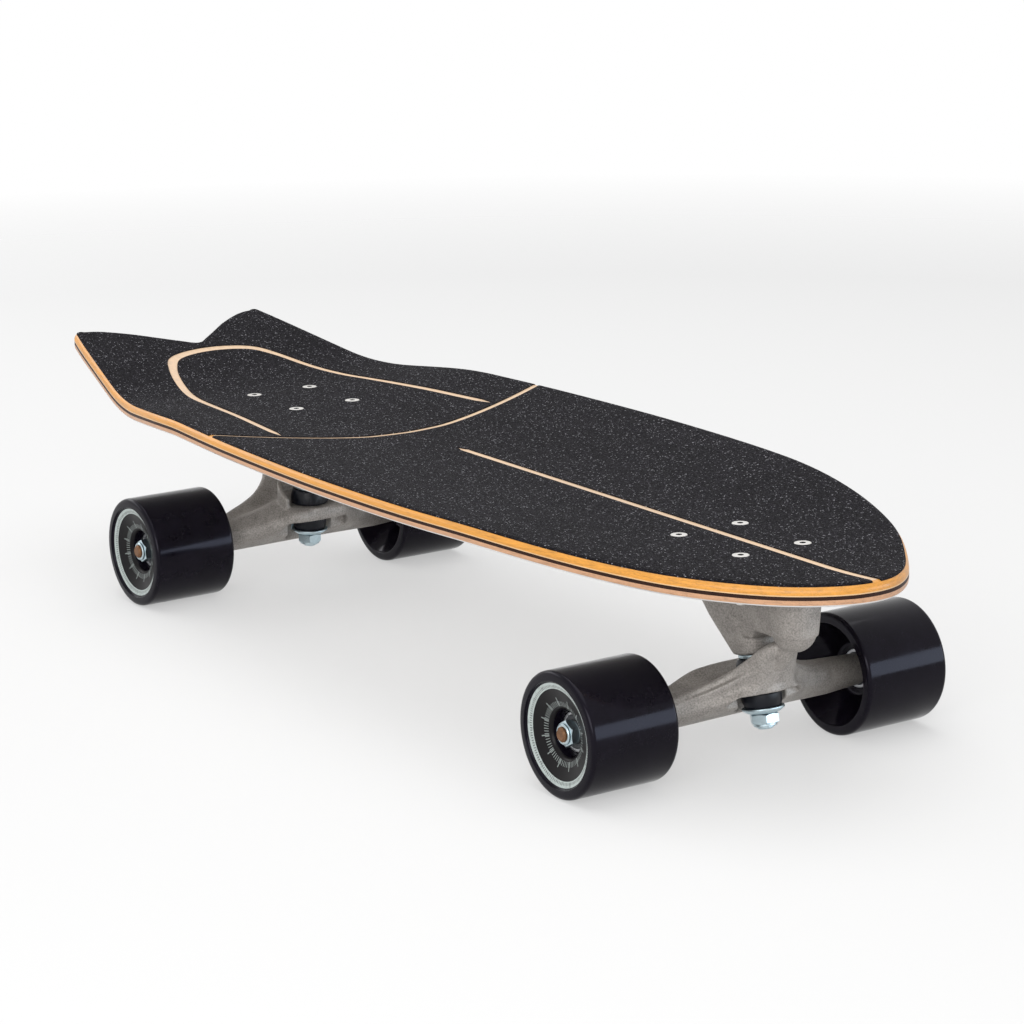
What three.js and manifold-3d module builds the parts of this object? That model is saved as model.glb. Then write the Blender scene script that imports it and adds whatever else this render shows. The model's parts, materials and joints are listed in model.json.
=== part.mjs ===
// Surf skateboard: a swallow-tailed deck on two cast carving trucks and four wide urethane wheels.
// Millimetres. +X points to the nose, +Y to the rider's left, +Z up. The floor is z = 0, and
// x = 0 is halfway between the nose and the tail tips.
import * as THREE from 'three';
import { mergeVertices } from 'three/addons/utils/BufferGeometryUtils.js';
import Module from 'manifold-3d';

const wasm = await Module();
wasm.setup();

// Driving sizes of the whole board
const deckLength = 760;
const deckWidth = 251;
const deckThickness = 10.8;
const wheelbase = 460.4;
const wheelbaseShift = 35.5;
const truckHeight = 76;
const wheelRadius = 34.5;
const wheelWidth = 57.3;

// Clearances shared by pieces that seat on, turn on or pass through each other
const seatGap = 0.3;
const turnGap = 0.25;
const threadGap = 0.15;
const overrun = 40;

// Deck form: raised rails, a flat middle, a kicked tail and a slightly lifted nose
const concaveRise = 8.8;
const flatHalfWidth = 26;
const kickStartShare = -0.298;
const kickEndShare = -0.381;
const kickSlope = 0.2;
const noseLift = 1.8;
const noseLiftStartShare = 0.44;
const concaveFadeShares = [-0.374, -0.19, 0.205, 0.468];
const concavePower = 1.25;
const deckEdge = 4.2;
const deckEdgeShares = [[1, 0], [0.42, 0.18], [0, 0.85]];
const deckHem = 2.2;
const deckHemShares = [[0, 1], [1, 0]];

// Half outline from the tail to the nose: shares of deckLength and of half deckWidth
const outlineShares = [
  [-0.46, 0.624], [-0.355, 0.762], [-0.25, 0.893], [-0.195, 0.93], [-0.09, 0.978],
  [0.05, 1], [0.19, 0.962], [0.3, 0.851], [0.39, 0.65], [0.457, 0.377], [0.49, 0.174], [0.5, 0],
];

// Swallow tail: depth of the notch and place of each tip.
// The notch's edge runs by shares of tipOffset and of notchDepth.
const notchDepth = 44;
const tipOffset = 67;
const tipRound = 5;
const notchShares = [[0, 0], [0.13, 0.14], [0.3, 0.36], [0.5, 0.62], [0.76, 0.88]];

// Grip sheets and the bare wood lines between them
const gripThickness = 0.8;
const gripInsetShare = 0.42;
const glueGap = 0.25;
const lineWidth = 5.4;
const stringerStart = -12;
const stringerTaper = 9;
const crossLineX = -65.5;
const crossLineSweep = 38;
const crossLinePower = 1.5;
const padRailGap = 47.7;
const padNotchGap = 15.5;
const padLineGap = 4;
const padTaper = 12;
const padBend = 30;
const padBendWidth = 7.6;
const padShares = [
  [0, 0.985], [0.32, 0.87], [0.6, 0.76], [0.77, 0.64], [0.905, 0.5], [0.975, 0.34], [1, 0],
];

// Truck bolts and their lock nuts
const boltSpacingX = 53.975;
const boltSpacingY = 41.275;
const boltRadius = 2.4;
const boltLength = 27;
const boltHeadRadius = 4.7;
const boltHeadHeight = 3;
const boltHeadRim = 0.4;
const boltSocket = 3.2;
const boltSocketDepth = 1.8;
const boltHoleGap = 0.35;
const boltNutAcross = 9.4;
const boltNutHeight = 6;

// Baseplates
const plateLength = 79;
const plateWidth = 57;
const plateThickness = 6;
const plateCorner = 11;
const plateOffset = 1;
const bodyHalfWidth = 15;
const bodyCorner = 12;
const bodyShoulder = 20;
const kingpinBossRadius = 11.6;
const pivotBossRadius = 12;
const pivotBossDrop = 8;
const archRadius = 5.4;
const bodyBack = 39;

// Places in each truck's side view, out from the middle of its bolts and up from its axle
const frontAxleOut = -3;
const frontRingOut = 17;
const frontRingUp = 12;
const frontPivotOut = 46;
const frontPivotUp = 43.8;
const frontArchUp = 43;
const frontBushingSpace = 1.7;
const frontKingpinAngle = 11.4;
const rearAxleOut = 16.8;
const rearRingOut = -3.5;
const rearRingUp = 15;
const rearPivotOut = 47;
const rearPivotUp = 39.5;
const rearArchUp = 47;
const rearBushingSpace = 5.5;
const rearKingpinAngle = 3;

// Kingpins, bushings and washers, stacked along the kingpin's axis
const kingpinRadius = 4.75;
const kingpinSwing = 3.4;
const kingpinReach = 34;
const kingpinTip = 1.4;
const kingpinHeadAcross = 14.3;
const kingpinHeadHeight = 5.5;
const kingpinHeadSpace = 1.6;
const kingpinNutAcross = 14.3;
const kingpinNutHeight = 7;
const ringThickness = 8.6;
const topBushingRadius = 12.2;
const topBushingHeight = 9.4;
const bottomBushingRadius = 11;
const bottomBushingHeight = 9;
const bushingEndShare = 0.88;
const bushingEdge = 1.2;
const topWasherRadius = 9.9;
const bottomWasherRadius = 11.6;
const washerThickness = 2.1;
const washerLip = 1.1;

// Hangers, axles and pivots
const hangerHalfLength = 82.5;
const armEndRadius = 8.6;
const armRadius = 10;
const casingRadius = 9.4;
const armStart = 58;
const ringWall = 3.5;
const pocketSwing = 4.2;
const slotHalfWidth = 25;
const slotCorner = 7;
const axleRadius = 4;
const pivotRadius = 5;
const pivotNeckRadius = 6.5;
const pivotNeckLength = 22;
const pivotSeatGap = 1;
const pivotCupWall = 1.6;
const pivotCupMouth = 1.5;

// Wheels, bearings and what holds them on the axle
const bearingRadius = 11;
const bearingWidth = 7;
const bearingSpread = 10;
const bearingRace = 1.9;
const bearingGroove = 0.5;
const bearingShoulder = 1.6;
const innerRecessDepth = 20.3;
const innerRecessMouth = 28.5;
const innerRecessFloor = 15;
const innerRecessShares = [0.33, 0.33];
const hubRecessRadius = 13;
const faceRadius = 28.3;
const faceDish = 1;
const wheelLip = 5.5;
const wheelLipShares = [0.4, 1];
const axleWasherRadius = 6.2;
const axleWasherThickness = 0.9;
const axleNutAcross = 12.7;
const axleNutHeight = 6.3;
const axleTip = 1.6;

// Counts of facets and of points along curves
const outlineSteps = 33;
const notchSteps = 6;
const outlineSamples = 240;
const lineSteps = 24;
const crossLineSteps = 8;
const wheelFacets = 22;
const roundFacets = 12;
const smallFacets = 8;
const cornerFacets = 3;

// Where the deck's surface has points, by shares of the way from its flat middle to its edge,
// and the least and most share of a row that the flat middle takes
const acrossShares = [0, 0.5, 1];
const flatShares = [0.2, 0.5];

// Places worked out from the driving sizes
const underside = wheelRadius + truckHeight;
const deckTop = underside + deckThickness;
const gripTop = deckTop + glueGap + gripThickness;
const halfLength = deckLength / 2;
const halfWidth = deckWidth / 2;
const plateBottom = underside - plateThickness;
const innerBearingY = hangerHalfLength + turnGap;
const outerBearingY = innerBearingY + bearingWidth + bearingSpread;
const axleWasherY = outerBearingY + bearingWidth + turnGap;
const axleNutY = axleWasherY + axleWasherThickness + seatGap;
const axleHalfLength = axleNutY + axleNutHeight + axleTip;
const wheelInnerY = innerBearingY - innerRecessDepth;
const wheelOuterY = wheelInnerY + wheelWidth;

// Heights along a kingpin's axis, from the middle of the hanger's ring
const topBushingZ = ringThickness / 2 + seatGap;
const topWasherZ = topBushingZ + topBushingHeight + seatGap;
const bossFaceZ = topWasherZ + washerThickness + seatGap;
const bottomBushingZ = -ringThickness / 2 - seatGap - bottomBushingHeight;
const bottomWasherZ = bottomBushingZ - seatGap - washerThickness;
const kingpinNutZ = bottomWasherZ - seatGap - kingpinNutHeight;

// Each truck in its own frame: out is away from the board's middle, up is above the axle.
// The front one steers on a steep axis and carries its axle inboard of the kingpin,
// the rear one steers on a shallow axis and carries it outboard.
const trucks = [
  {
    name: 'front', turn: 0, slotTurn: 0,
    axleOut: frontAxleOut, archUp: frontArchUp, kingpinAngle: frontKingpinAngle,
    bushingSpace: frontBushingSpace,
    ring: { out: frontRingOut, up: frontRingUp }, pivot: { out: frontPivotOut, up: frontPivotUp },
  },
  {
    name: 'rear', turn: Math.PI, slotTurn: Math.PI,
    axleOut: rearAxleOut, archUp: rearArchUp, kingpinAngle: rearKingpinAngle,
    bushingSpace: rearBushingSpace,
    ring: { out: rearRingOut, up: rearRingUp }, pivot: { out: rearPivotOut, up: rearPivotUp },
  },
];

// Middle section of each hanger, round the axle: the angle on the round arm that a point grows from,
// the group that it grows with, and its place as shares of the way from the axle to the pivot
const sectionShares = {
  front: [
    [205, 'casing'], [230, 'casing'], [255, 'casing'], [280, 'casing'], [305, 'casing'],
    [330, 'plate', 0.35, 0.02], [345, 'plate', 0.475, 0.115], [0, 'plate', 0.515, 0.165],
    [15, 'plate', 0.555, 0.3], [28, 'ridge', 0.6, 0.44], [36, 'ridge', 0.655, 0.545],
    [44, 'ridge', 0.65, 0.6], [52, 'ridge', 0.585, 0.575], [63, 'ridge', 0.48, 0.42],
    [78, 'plate', 0.34, 0.285], [92, 'plate', 0.19, 0.225], [106, 'flange', 0.03, 0.21],
    [118, 'flange', -0.035, 0.26], [128, 'flange', -0.075, 0.282], [140, 'flange', -0.12, 0.265],
    [155, 'flange', -0.15, 0.17], [180, 'flange', -0.15, 0.02],
  ],
  rear: [
    [340, 'casing'], [315, 'casing'], [290, 'casing'], [265, 'casing'], [240, 'casing'],
    [215, 'plate', -0.5, 0.04], [198, 'plate', -0.67, 0.15], [184, 'plate', -0.72, 0.23],
    [170, 'plate', -0.71, 0.34], [155, 'plate', -0.62, 0.38], [140, 'plate', -0.42, 0.42],
    [122, 'plate', -0.2, 0.44], [104, 'ridge', 0.1, 0.52], [84, 'ridge', 0.33, 0.68],
    [70, 'ridge', 0.45, 0.79], [60, 'ridge', 0.52, 0.81], [50, 'ridge', 0.56, 0.76],
    [38, 'ridge', 0.45, 0.5], [24, 'ridge', 0.3, 0.24], [5, 'casing'],
  ],
};

// How far each group has grown out of the round arm, by shares of armStart
const growthShares = {
  front: {
    plate: [
      [0, 1], [0.26, 0.97], [0.35, 0.88], [0.45, 0.7], [0.57, 0.5], [0.71, 0.3], [0.86, 0.12], [1, 0],
    ],
    ridge: [
      [0, 1], [0.2, 0.97], [0.31, 0.83], [0.38, 0.7], [0.5, 0.52], [0.6, 0.39], [0.75, 0.22], [1, 0],
    ],
    flange: [[0, 1], [0.4, 0.9], [0.57, 0.65], [0.71, 0.36], [0.86, 0.12], [1, 0]],
  },
  rear: {
    plate: [
      [0, 1], [0.26, 0.97], [0.35, 0.88], [0.45, 0.7], [0.57, 0.5], [0.71, 0.3], [0.86, 0.12], [1, 0],
    ],
    ridge: [[0, 1], [0.12, 0.97], [0.2, 0.72], [0.35, 0.48], [0.53, 0.31], [0.78, 0.15], [1, 0]],
  },
};
const armStationShares = [0, 0.14, 0.26, 0.36, 0.47, 0.6, 0.8, 1];

// Mesh helpers

function facingOut(geometry) {
  const position = geometry.attributes.position;
  const index = geometry.index.array;
  const [a, b, c] = [new THREE.Vector3(), new THREE.Vector3(), new THREE.Vector3()];
  let volume = 0;
  for (let i = 0; i < index.length; i += 3) {
    a.fromBufferAttribute(position, index[i]);
    b.fromBufferAttribute(position, index[i + 1]);
    c.fromBufferAttribute(position, index[i + 2]);
    volume += a.dot(b.cross(c));
  }
  if (volume < 0) {
    for (let i = 0; i < index.length; i += 3) {
      [index[i], index[i + 1]] = [index[i + 1], index[i]];
    }
  }
  return geometry;
}

// Shared vertices merged, flat triangles dropped, faces out
function welded(geometry) {
  const bare = geometry.clone();
  bare.deleteAttribute('normal');
  bare.deleteAttribute('uv');
  const merged = mergeVertices(bare);
  const index = merged.index.array;
  const kept = [];
  for (let i = 0; i < index.length; i += 3) {
    const [a, b, c] = [index[i], index[i + 1], index[i + 2]];
    if (a !== b && b !== c && c !== a) kept.push(a, b, c);
  }
  merged.setIndex(kept);
  return facingOut(merged);
}

function solid(geometry) {
  const whole = welded(geometry);
  const vertProperties = new Float32Array(whole.attributes.position.array);
  const triVerts = new Uint32Array(whole.index.array);
  return new wasm.Manifold(new wasm.Mesh({ numProp: 3, vertProperties, triVerts }));
}

function geometryOf(manifold) {
  const mesh = manifold.getMesh();
  const geometry = new THREE.BufferGeometry();
  geometry.setAttribute('position', new THREE.Float32BufferAttribute(mesh.vertProperties, 3));
  geometry.setIndex(Array.from(mesh.triVerts));
  return geometry;
}

function shaped(base, added, removed) {
  let result = solid(base);
  for (const geometry of added) result = result.add(solid(geometry));
  for (const geometry of removed) result = result.subtract(solid(geometry));
  return geometryOf(result);
}

function ringOfQuads(index, first, second) {
  for (let j = 0; j < first.length; j += 1) {
    const next = (j + 1) % first.length;
    index.push(first[j], first[next], second[j], first[next], second[next], second[j]);
  }
}

// Quads between two rows of points, split along the falling or the rising diagonal
function rowOfQuads(index, first, second, rising) {
  for (let j = 0; j + 1 < first.length; j += 1) {
    const [a, b, c, d] = [first[j], first[j + 1], second[j], second[j + 1]];
    index.push(...(rising ? [a, b, d, a, d, c] : [a, b, c, b, d, c]));
  }
}

// Body through a list of closed rings of equal length, capped at both ends
function loft(rings) {
  const count = rings[0].length;
  const points = rings.flat();
  const rows = rings.map((ring, i) => ring.map((_, j) => i * count + j));
  const index = [];
  for (let i = 0; i + 1 < rows.length; i += 1) ringOfQuads(index, rows[i], rows[i + 1]);
  for (const [row, flip] of [[rows[0], true], [rows[rows.length - 1], false]]) {
    const hub = points.length;
    const middle = new THREE.Vector3();
    for (const i of row) middle.add(points[i]);
    points.push(middle.divideScalar(count));
    for (let j = 0; j < count; j += 1) {
      const [a, b] = [row[j], row[(j + 1) % count]];
      index.push(...(flip ? [b, a, hub] : [a, b, hub]));
    }
  }
  const geometry = new THREE.BufferGeometry().setFromPoints(points);
  geometry.setIndex(index);
  return geometry;
}

// Piece revolved on the Y axis from [radius, height] points that start and end on the axis
function turnedOnY(profile, facets) {
  const points = profile.map(([radius, y]) => new THREE.Vector2(radius, y));
  return welded(new THREE.LatheGeometry(points, facets));
}

function turnedOnZ(profile, facets) {
  return turnedOnY(profile, facets).rotateX(Math.PI / 2);
}

// Ring of material: the profile closes on itself, clear of the axis
function closed(profile) {
  return [...profile, profile[0]];
}

function rod(radius, from, to) {
  return turnedOnZ([[0, from], [radius, from], [radius, to], [0, to]], roundFacets);
}

function prism(shape, depth) {
  return new THREE.ExtrudeGeometry(shape, { depth, bevelEnabled: false, curveSegments: smallFacets / 2 });
}

function hexagon(across) {
  const radius = across / 2 / Math.cos(Math.PI / 6);
  const corners = Array.from({ length: 6 }, (_, i) => {
    const angle = (Math.PI * i) / 3;
    return new THREE.Vector2(radius * Math.cos(angle), radius * Math.sin(angle));
  });
  return new THREE.Shape(corners);
}

function nut(across, height, boreRadius) {
  const shape = hexagon(across);
  const corner = boreRadius / Math.cos(Math.PI / smallFacets);
  shape.holes.push(new THREE.Path().absarc(0, 0, corner, 0, 2 * Math.PI));
  return prism(shape, height);
}

// Points round a rectangle with round corners, always the same number of them
function roundedRing(x0, x1, y0, y1, radius, z) {
  const corner = Math.min(radius, (x1 - x0) / 2, (y1 - y0) / 2);
  const centres = [
    [x1 - corner, y1 - corner], [x0 + corner, y1 - corner],
    [x0 + corner, y0 + corner], [x1 - corner, y0 + corner],
  ];
  return centres.flatMap(([x, y], quarter) => Array.from({ length: cornerFacets + 1 }, (_, i) => {
    const angle = (Math.PI / 2) * (quarter + i / cornerFacets);
    return new THREE.Vector3(x + corner * Math.cos(angle), y + corner * Math.sin(angle), z);
  }));
}

// Block with round corners in plan
function roundedBlock(x0, x1, y0, y1, radius, z0, z1) {
  return loft([roundedRing(x0, x1, y0, y1, radius, z0), roundedRing(x0, x1, y0, y1, radius, z1)]);
}

// Value read from a table of [share, value] pairs
function readShares(table, share) {
  const next = table.findIndex(([at]) => at >= share);
  if (next <= 0) return next === 0 ? table[0][1] : table[table.length - 1][1];
  const [[x0, y0], [x1, y1]] = [table[next - 1], table[next]];
  return y0 + ((y1 - y0) * (share - x0)) / (x1 - x0);
}

// Curve through points, with one more point before and after them that only steers its ends
function curveThrough(before, points, after, steps) {
  const curve = new THREE.SplineCurve([before, ...points, after]);
  const spans = points.length - 1;
  return Array.from({ length: steps + 1 }, (_, i) => (
    curve.getPoint((1 + (spans * i) / steps) / (spans + 2))
  ));
}

function mirrored(point) {
  return new THREE.Vector2(point.x, -point.y);
}

// Deck plan

// Point where a line from an outside point touches the round tip, on the side that sign picks
function tipTouch(centre, point, sign) {
  const arm = point.clone().sub(centre);
  const angle = arm.angle() + sign * Math.acos(tipRound / arm.length());
  return new THREE.Vector2(Math.cos(angle), Math.sin(angle)).multiplyScalar(tipRound).add(centre);
}

function planCurves() {
  const centre = new THREE.Vector2(tipRound - halfLength, tipOffset);
  const notch = notchShares.map(([across, depth]) => (
    new THREE.Vector2(notchDepth * (1 - depth) - halfLength, tipOffset * across)
  ));
  const rail = outlineShares.map(([along, across]) => (
    new THREE.Vector2(deckLength * along, halfWidth * across)
  ));
  notch.push(tipTouch(centre, notch[notch.length - 1], -1));
  rail.unshift(tipTouch(centre, rail[0], 1));
  const railStart = rail[0].clone().multiplyScalar(2).sub(rail[1]);
  const notchEnd = notch[notch.length - 1].clone().multiplyScalar(2).sub(notch[notch.length - 2]);
  const railEnd = mirrored(rail[rail.length - 2]);
  return {
    centre,
    tip: new THREE.Vector2(-halfLength, tipOffset),
    notch: curveThrough(mirrored(notch[1]), notch, notchEnd, notchSteps),
    rail: curveThrough(railStart, rail, railEnd, outlineSteps),
    fineRail: curveThrough(railStart, rail, railEnd, outlineSamples),
  };
}

const plan = planCurves();

// Half width of the deck at a place along it
function halfWidthAt(x) {
  const rail = plan.fineRail;
  if (x < rail[0].x) {
    const out = THREE.MathUtils.clamp(plan.centre.x - x, 0, tipRound);
    return plan.centre.y + Math.sqrt(tipRound * tipRound - out * out);
  }
  const next = rail.findIndex((point) => point.x >= x);
  if (next < 1) return rail[next < 0 ? rail.length - 1 : 0].y;
  const share = (x - rail[next - 1].x) / (rail[next].x - rail[next - 1].x);
  return rail[next - 1].y + share * (rail[next].y - rail[next - 1].y);
}

// Unit vector to the right of the way from one point to another, which is into the wood
function inward(from, to) {
  const along = to.clone().sub(from).normalize();
  return new THREE.Vector2(along.y, -along.x);
}

// Stations from the tail tip to the nose, each with its inner and outer edge point.
// Past the notch, the inner one is on the centre line and has no edge of its own.
function deckStations() {
  const inner = [plan.tip, ...plan.notch.slice().reverse()];
  const notchEnd = inner.length - 1;
  const outer = inner.map((point, i) => (
    i === 0 ? plan.tip : new THREE.Vector2(point.x, halfWidthAt(point.x))
  ));
  const firstPlain = inner[notchEnd].x + 2 * deckEdge;
  outer.push(...plan.rail.filter((point) => point.x > firstPlain));
  return outer.map((point, i) => {
    const last = i === 0 ? inner[1] : outer[i - 1];
    const next = i + 1 < outer.length ? outer[i + 1] : mirrored(outer[i - 1]);
    const station = { outer: point, outerIn: inward(last, next) };
    if (i === 0) station.outerIn.set(1, 0);
    if (i === outer.length - 1) station.outerIn.set(-1, 0);
    if (i > notchEnd) return station;
    station.inner = inner[i];
    station.innerIn = new THREE.Vector2(1, 0);
    if (i > 0 && i < notchEnd) station.innerIn = inward(inner[i + 1], inner[i - 1]);
    return station;
  });
}

function smoothStep(from, to, x) {
  const share = THREE.MathUtils.clamp((x - from) / (to - from), 0, 1);
  return share * share * (3 - 2 * share);
}

// Rise of the deck's surface over its flat middle
function deckRise(x, y) {
  const [tailLow, tailHigh, noseHigh, noseLow] = concaveFadeShares.map((share) => share * deckLength);
  const fade = smoothStep(tailLow, tailHigh, x) * smoothStep(noseLow, noseHigh, x);
  const reach = Math.max(halfWidthAt(x) - flatHalfWidth, flatHalfWidth);
  const across = THREE.MathUtils.clamp((Math.abs(y) - flatHalfWidth) / reach, 0, 1);
  const kickRun = (kickStartShare - kickEndShare) * deckLength;
  const past = Math.max(kickStartShare * deckLength - x, 0);
  const kick = past < kickRun ? (past * past) / (2 * kickRun) : past - kickRun / 2;
  const liftStart = noseLiftStartShare * deckLength;
  const lift = Math.max((x - liftStart) / (halfLength - liftStart), 0);
  return concaveRise * fade * across ** concavePower + kickSlope * kick + noseLift * lift * lift;
}

// Body that follows the deck's plan and surface. Its rim goes from the top face to the bottom face
// as [distance in from the plan's edge, height over the deck's surface] points.
function deckSheet(rim) {
  const points = [];
  const index = [];
  const place = (plane, height) => {
    points.push(new THREE.Vector3(plane.x, plane.y, deckTop + height + deckRise(plane.x, plane.y)));
    return points.length - 1;
  };
  const edgePoint = (point, direction, [distance, height]) => (
    place(point.clone().addScaledVector(direction, distance), height)
  );
  const rowOfPoints = (station, [distance, height]) => {
    const outer = station.outer.clone().addScaledVector(station.outerIn, distance);
    const inner = station.inner
      ? station.inner.clone().addScaledVector(station.innerIn, distance)
      : new THREE.Vector2(outer.x, 0);
    const span = outer.y - inner.y;
    const flat = THREE.MathUtils.clamp(span > 0 ? (flatHalfWidth - inner.y) / span : 0, ...flatShares);
    const across = [0, ...acrossShares.map((share) => flat + (1 - flat) * share)];
    return across.map((share) => place(inner.clone().lerp(outer, share), height));
  };
  const side = rim.slice(1, -1);
  const columns = deckStations().map((station) => {
    const top = rowOfPoints(station, rim[0]);
    const bottom = rowOfPoints(station, rim[rim.length - 1]).reverse();
    const outer = side.map((step) => edgePoint(station.outer, station.outerIn, step));
    const column = { top, bottom, outer: [top[top.length - 1], ...outer, bottom[0]] };
    if (!station.inner) return column;
    const inner = side.map((step) => edgePoint(station.inner, station.innerIn, step)).reverse();
    return { ...column, inner: [bottom[bottom.length - 1], ...inner, top[0]] };
  });
  for (let i = 0; i + 1 < columns.length; i += 1) {
    const [here, next] = [columns[i], columns[i + 1]];
    rowOfQuads(index, here.top, next.top, false);
    rowOfQuads(index, here.outer, next.outer, false);
    rowOfQuads(index, here.bottom, next.bottom, true);
    if (next.inner) rowOfQuads(index, here.inner, next.inner, false);
  }
  const count = points.length;
  points.push(...points.map((point) => new THREE.Vector3(point.x, -point.y, point.z)));
  for (let i = index.length - 3; i >= 0; i -= 3) {
    index.push(index[i + 1] + count, index[i] + count, index[i + 2] + count);
  }
  const geometry = new THREE.BufferGeometry().setFromPoints(points);
  geometry.setIndex(index);
  return geometry;
}

function deckRim() {
  const edge = deckEdgeShares.map(([distance, drop]) => [deckEdge * distance, -deckEdge * drop]);
  const hem = deckHemShares.map(([distance, height]) => (
    [deckHem * distance, deckHem * height - deckThickness]
  ));
  return [...edge, ...hem];
}

// The grip bends down over the start of the deck's rounded edge
function gripRim() {
  const next = deckEdgeShares.findIndex(([distance]) => distance <= gripInsetShare);
  const [inner, outer] = [deckEdgeShares[next - 1], deckEdgeShares[next]];
  const share = (inner[0] - gripInsetShare) / (inner[0] - outer[0]);
  const rimDropShare = inner[1] + share * (outer[1] - inner[1]);
  const bend = [...deckEdgeShares.slice(0, next), [gripInsetShare, rimDropShare]];
  const face = (height) => bend.map(([distance, drop]) => [deckEdge * distance, height - deckEdge * drop]);
  return [...face(glueGap + gripThickness), ...face(glueGap).reverse()];
}

function boltPattern() {
  const places = [];
  for (const x of [boltSpacingX / 2, -boltSpacingX / 2]) {
    for (const y of [boltSpacingY / 2, -boltSpacingY / 2]) places.push([x, y]);
  }
  return places;
}

function truckX(truck) {
  return wheelbaseShift + (Math.cos(truck.turn) * wheelbase) / 2;
}

// Truck bolt holes through the deck and the grip, countersunk from the top
function boltCutters() {
  const shank = boltRadius + boltHoleGap;
  const head = boltHeadRadius + boltHoleGap;
  const profile = [
    [0, underside - overrun], [shank, underside - overrun], [shank, gripTop - boltHeadHeight],
    [head, gripTop - boltHeadRim / 2], [head, gripTop + overrun], [0, gripTop + overrun],
  ];
  return trucks.flatMap((truck) => boltPattern().map(([x, y]) => (
    turnedOnZ(profile, smallFacets).translate(truckX(truck) + x, y, 0)
  )));
}

function deck() {
  return shaped(deckSheet(deckRim()), [], boltCutters());
}

// Upright prism through the whole board from a plan outline
function throughBoard(points) {
  return prism(new THREE.Shape(points), gripTop + halfWidth);
}

// Line across the deck between the two grip sheets
function crossLineAt(y) {
  return crossLineX - crossLineSweep * (Math.abs(y) / halfWidth) ** crossLinePower;
}

// Plan of the area from the cross line to past one end of the deck
function gripArea(endX, shift) {
  const reach = halfWidth + overrun;
  const line = Array.from({ length: 2 * crossLineSteps + 1 }, (_, i) => {
    const y = reach * (i / crossLineSteps - 1);
    return new THREE.Vector2(crossLineAt(y) + shift, y);
  });
  return [...line, new THREE.Vector2(endX, reach), new THREE.Vector2(endX, -reach)];
}

// Bare line round the tail pad: a horseshoe from the cross line to the notch, wider at its bend
// and pointed at its two ends
function padLine() {
  const padHalfWidth = halfWidth - padRailGap;
  const padStartX = crossLineAt(padHalfWidth * padShares[0][1]) - padLineGap;
  const padEndX = notchDepth - halfLength + padNotchGap;
  const padLength = padStartX - padEndX;
  const side = padShares.map(([along, across]) => (
    new THREE.Vector2(padEndX + padLength * (1 - along), padHalfWidth * across)
  ));
  const curve = new THREE.SplineCurve([...side, ...side.slice(0, -1).reverse().map(mirrored)]);
  const [left, right] = [[], []];
  for (let i = 0; i <= lineSteps; i += 1) {
    const point = curve.getPoint(i / lineSteps);
    const across = inward(new THREE.Vector2(), curve.getTangent(i / lineSteps));
    const taper = Math.min((padEndX + padLength - point.x) / padTaper, 1);
    const bend = smoothStep(padEndX + padBend, padEndX, point.x);
    const half = (taper * THREE.MathUtils.lerp(lineWidth, padBendWidth, bend)) / 2;
    left.push(point.clone().addScaledVector(across, half));
    if (i > 0 && i < lineSteps) right.push(point.clone().addScaledVector(across, -half));
  }
  return throughBoard([...left, ...right.reverse()]);
}

function stringerLine() {
  const end = halfLength + overrun;
  return throughBoard([
    new THREE.Vector2(stringerStart, 0),
    new THREE.Vector2(stringerStart + stringerTaper, -lineWidth / 2),
    new THREE.Vector2(end, -lineWidth / 2),
    new THREE.Vector2(end, lineWidth / 2),
    new THREE.Vector2(stringerStart + stringerTaper, lineWidth / 2),
  ]);
}

function gripPanel(area, line) {
  const sheet = solid(deckSheet(gripRim())).intersect(solid(throughBoard(area)));
  return shaped(geometryOf(sheet), [], [line, ...boltCutters()]);
}

function gripTail() {
  return gripPanel(gripArea(-halfLength - overrun, -lineWidth / 2), padLine());
}

function gripNose() {
  return gripPanel(gripArea(halfLength + overrun, lineWidth / 2), stringerLine());
}

// Bolts

function bolt() {
  const profile = [
    [0, -boltLength], [boltRadius, -boltLength], [boltRadius, -boltHeadHeight],
    [boltHeadRadius, -boltHeadRim], [boltHeadRadius, 0], [0, 0],
  ];
  const socket = prism(hexagon(boltSocket), boltSocketDepth + overrun).translate(0, 0, -boltSocketDepth);
  return shaped(turnedOnZ(profile, smallFacets), [], [socket]);
}

function boltNut() {
  return nut(boltNutAcross, boltNutHeight, boltRadius + threadGap);
}

// Truck frames

function lean(truck) {
  return THREE.MathUtils.degToRad(truck.kingpinAngle);
}

function alongKingpin(truck, geometry) {
  return geometry.rotateY(-lean(truck)).translate(truck.ring.out, 0, wheelRadius + truck.ring.up);
}

// Angle between upright and the steering axis, which runs from the ring's middle to the pivot
function steerAngle(truck) {
  return Math.atan2(truck.pivot.out - truck.ring.out, truck.pivot.up - truck.ring.up);
}

function alongSteering(truck, geometry) {
  return geometry.rotateY(steerAngle(truck)).translate(truck.pivot.out, 0, wheelRadius + truck.pivot.up);
}

// Baseplates

// Place in the truck's side view of a point across and up in the kingpin's frame
function besideKingpin(truck, across, up) {
  const [sin, cos] = [Math.sin(lean(truck)), Math.cos(lean(truck))];
  return {
    out: truck.ring.out + across * cos - up * sin,
    z: wheelRadius + truck.ring.up + across * sin + up * cos,
  };
}

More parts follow.
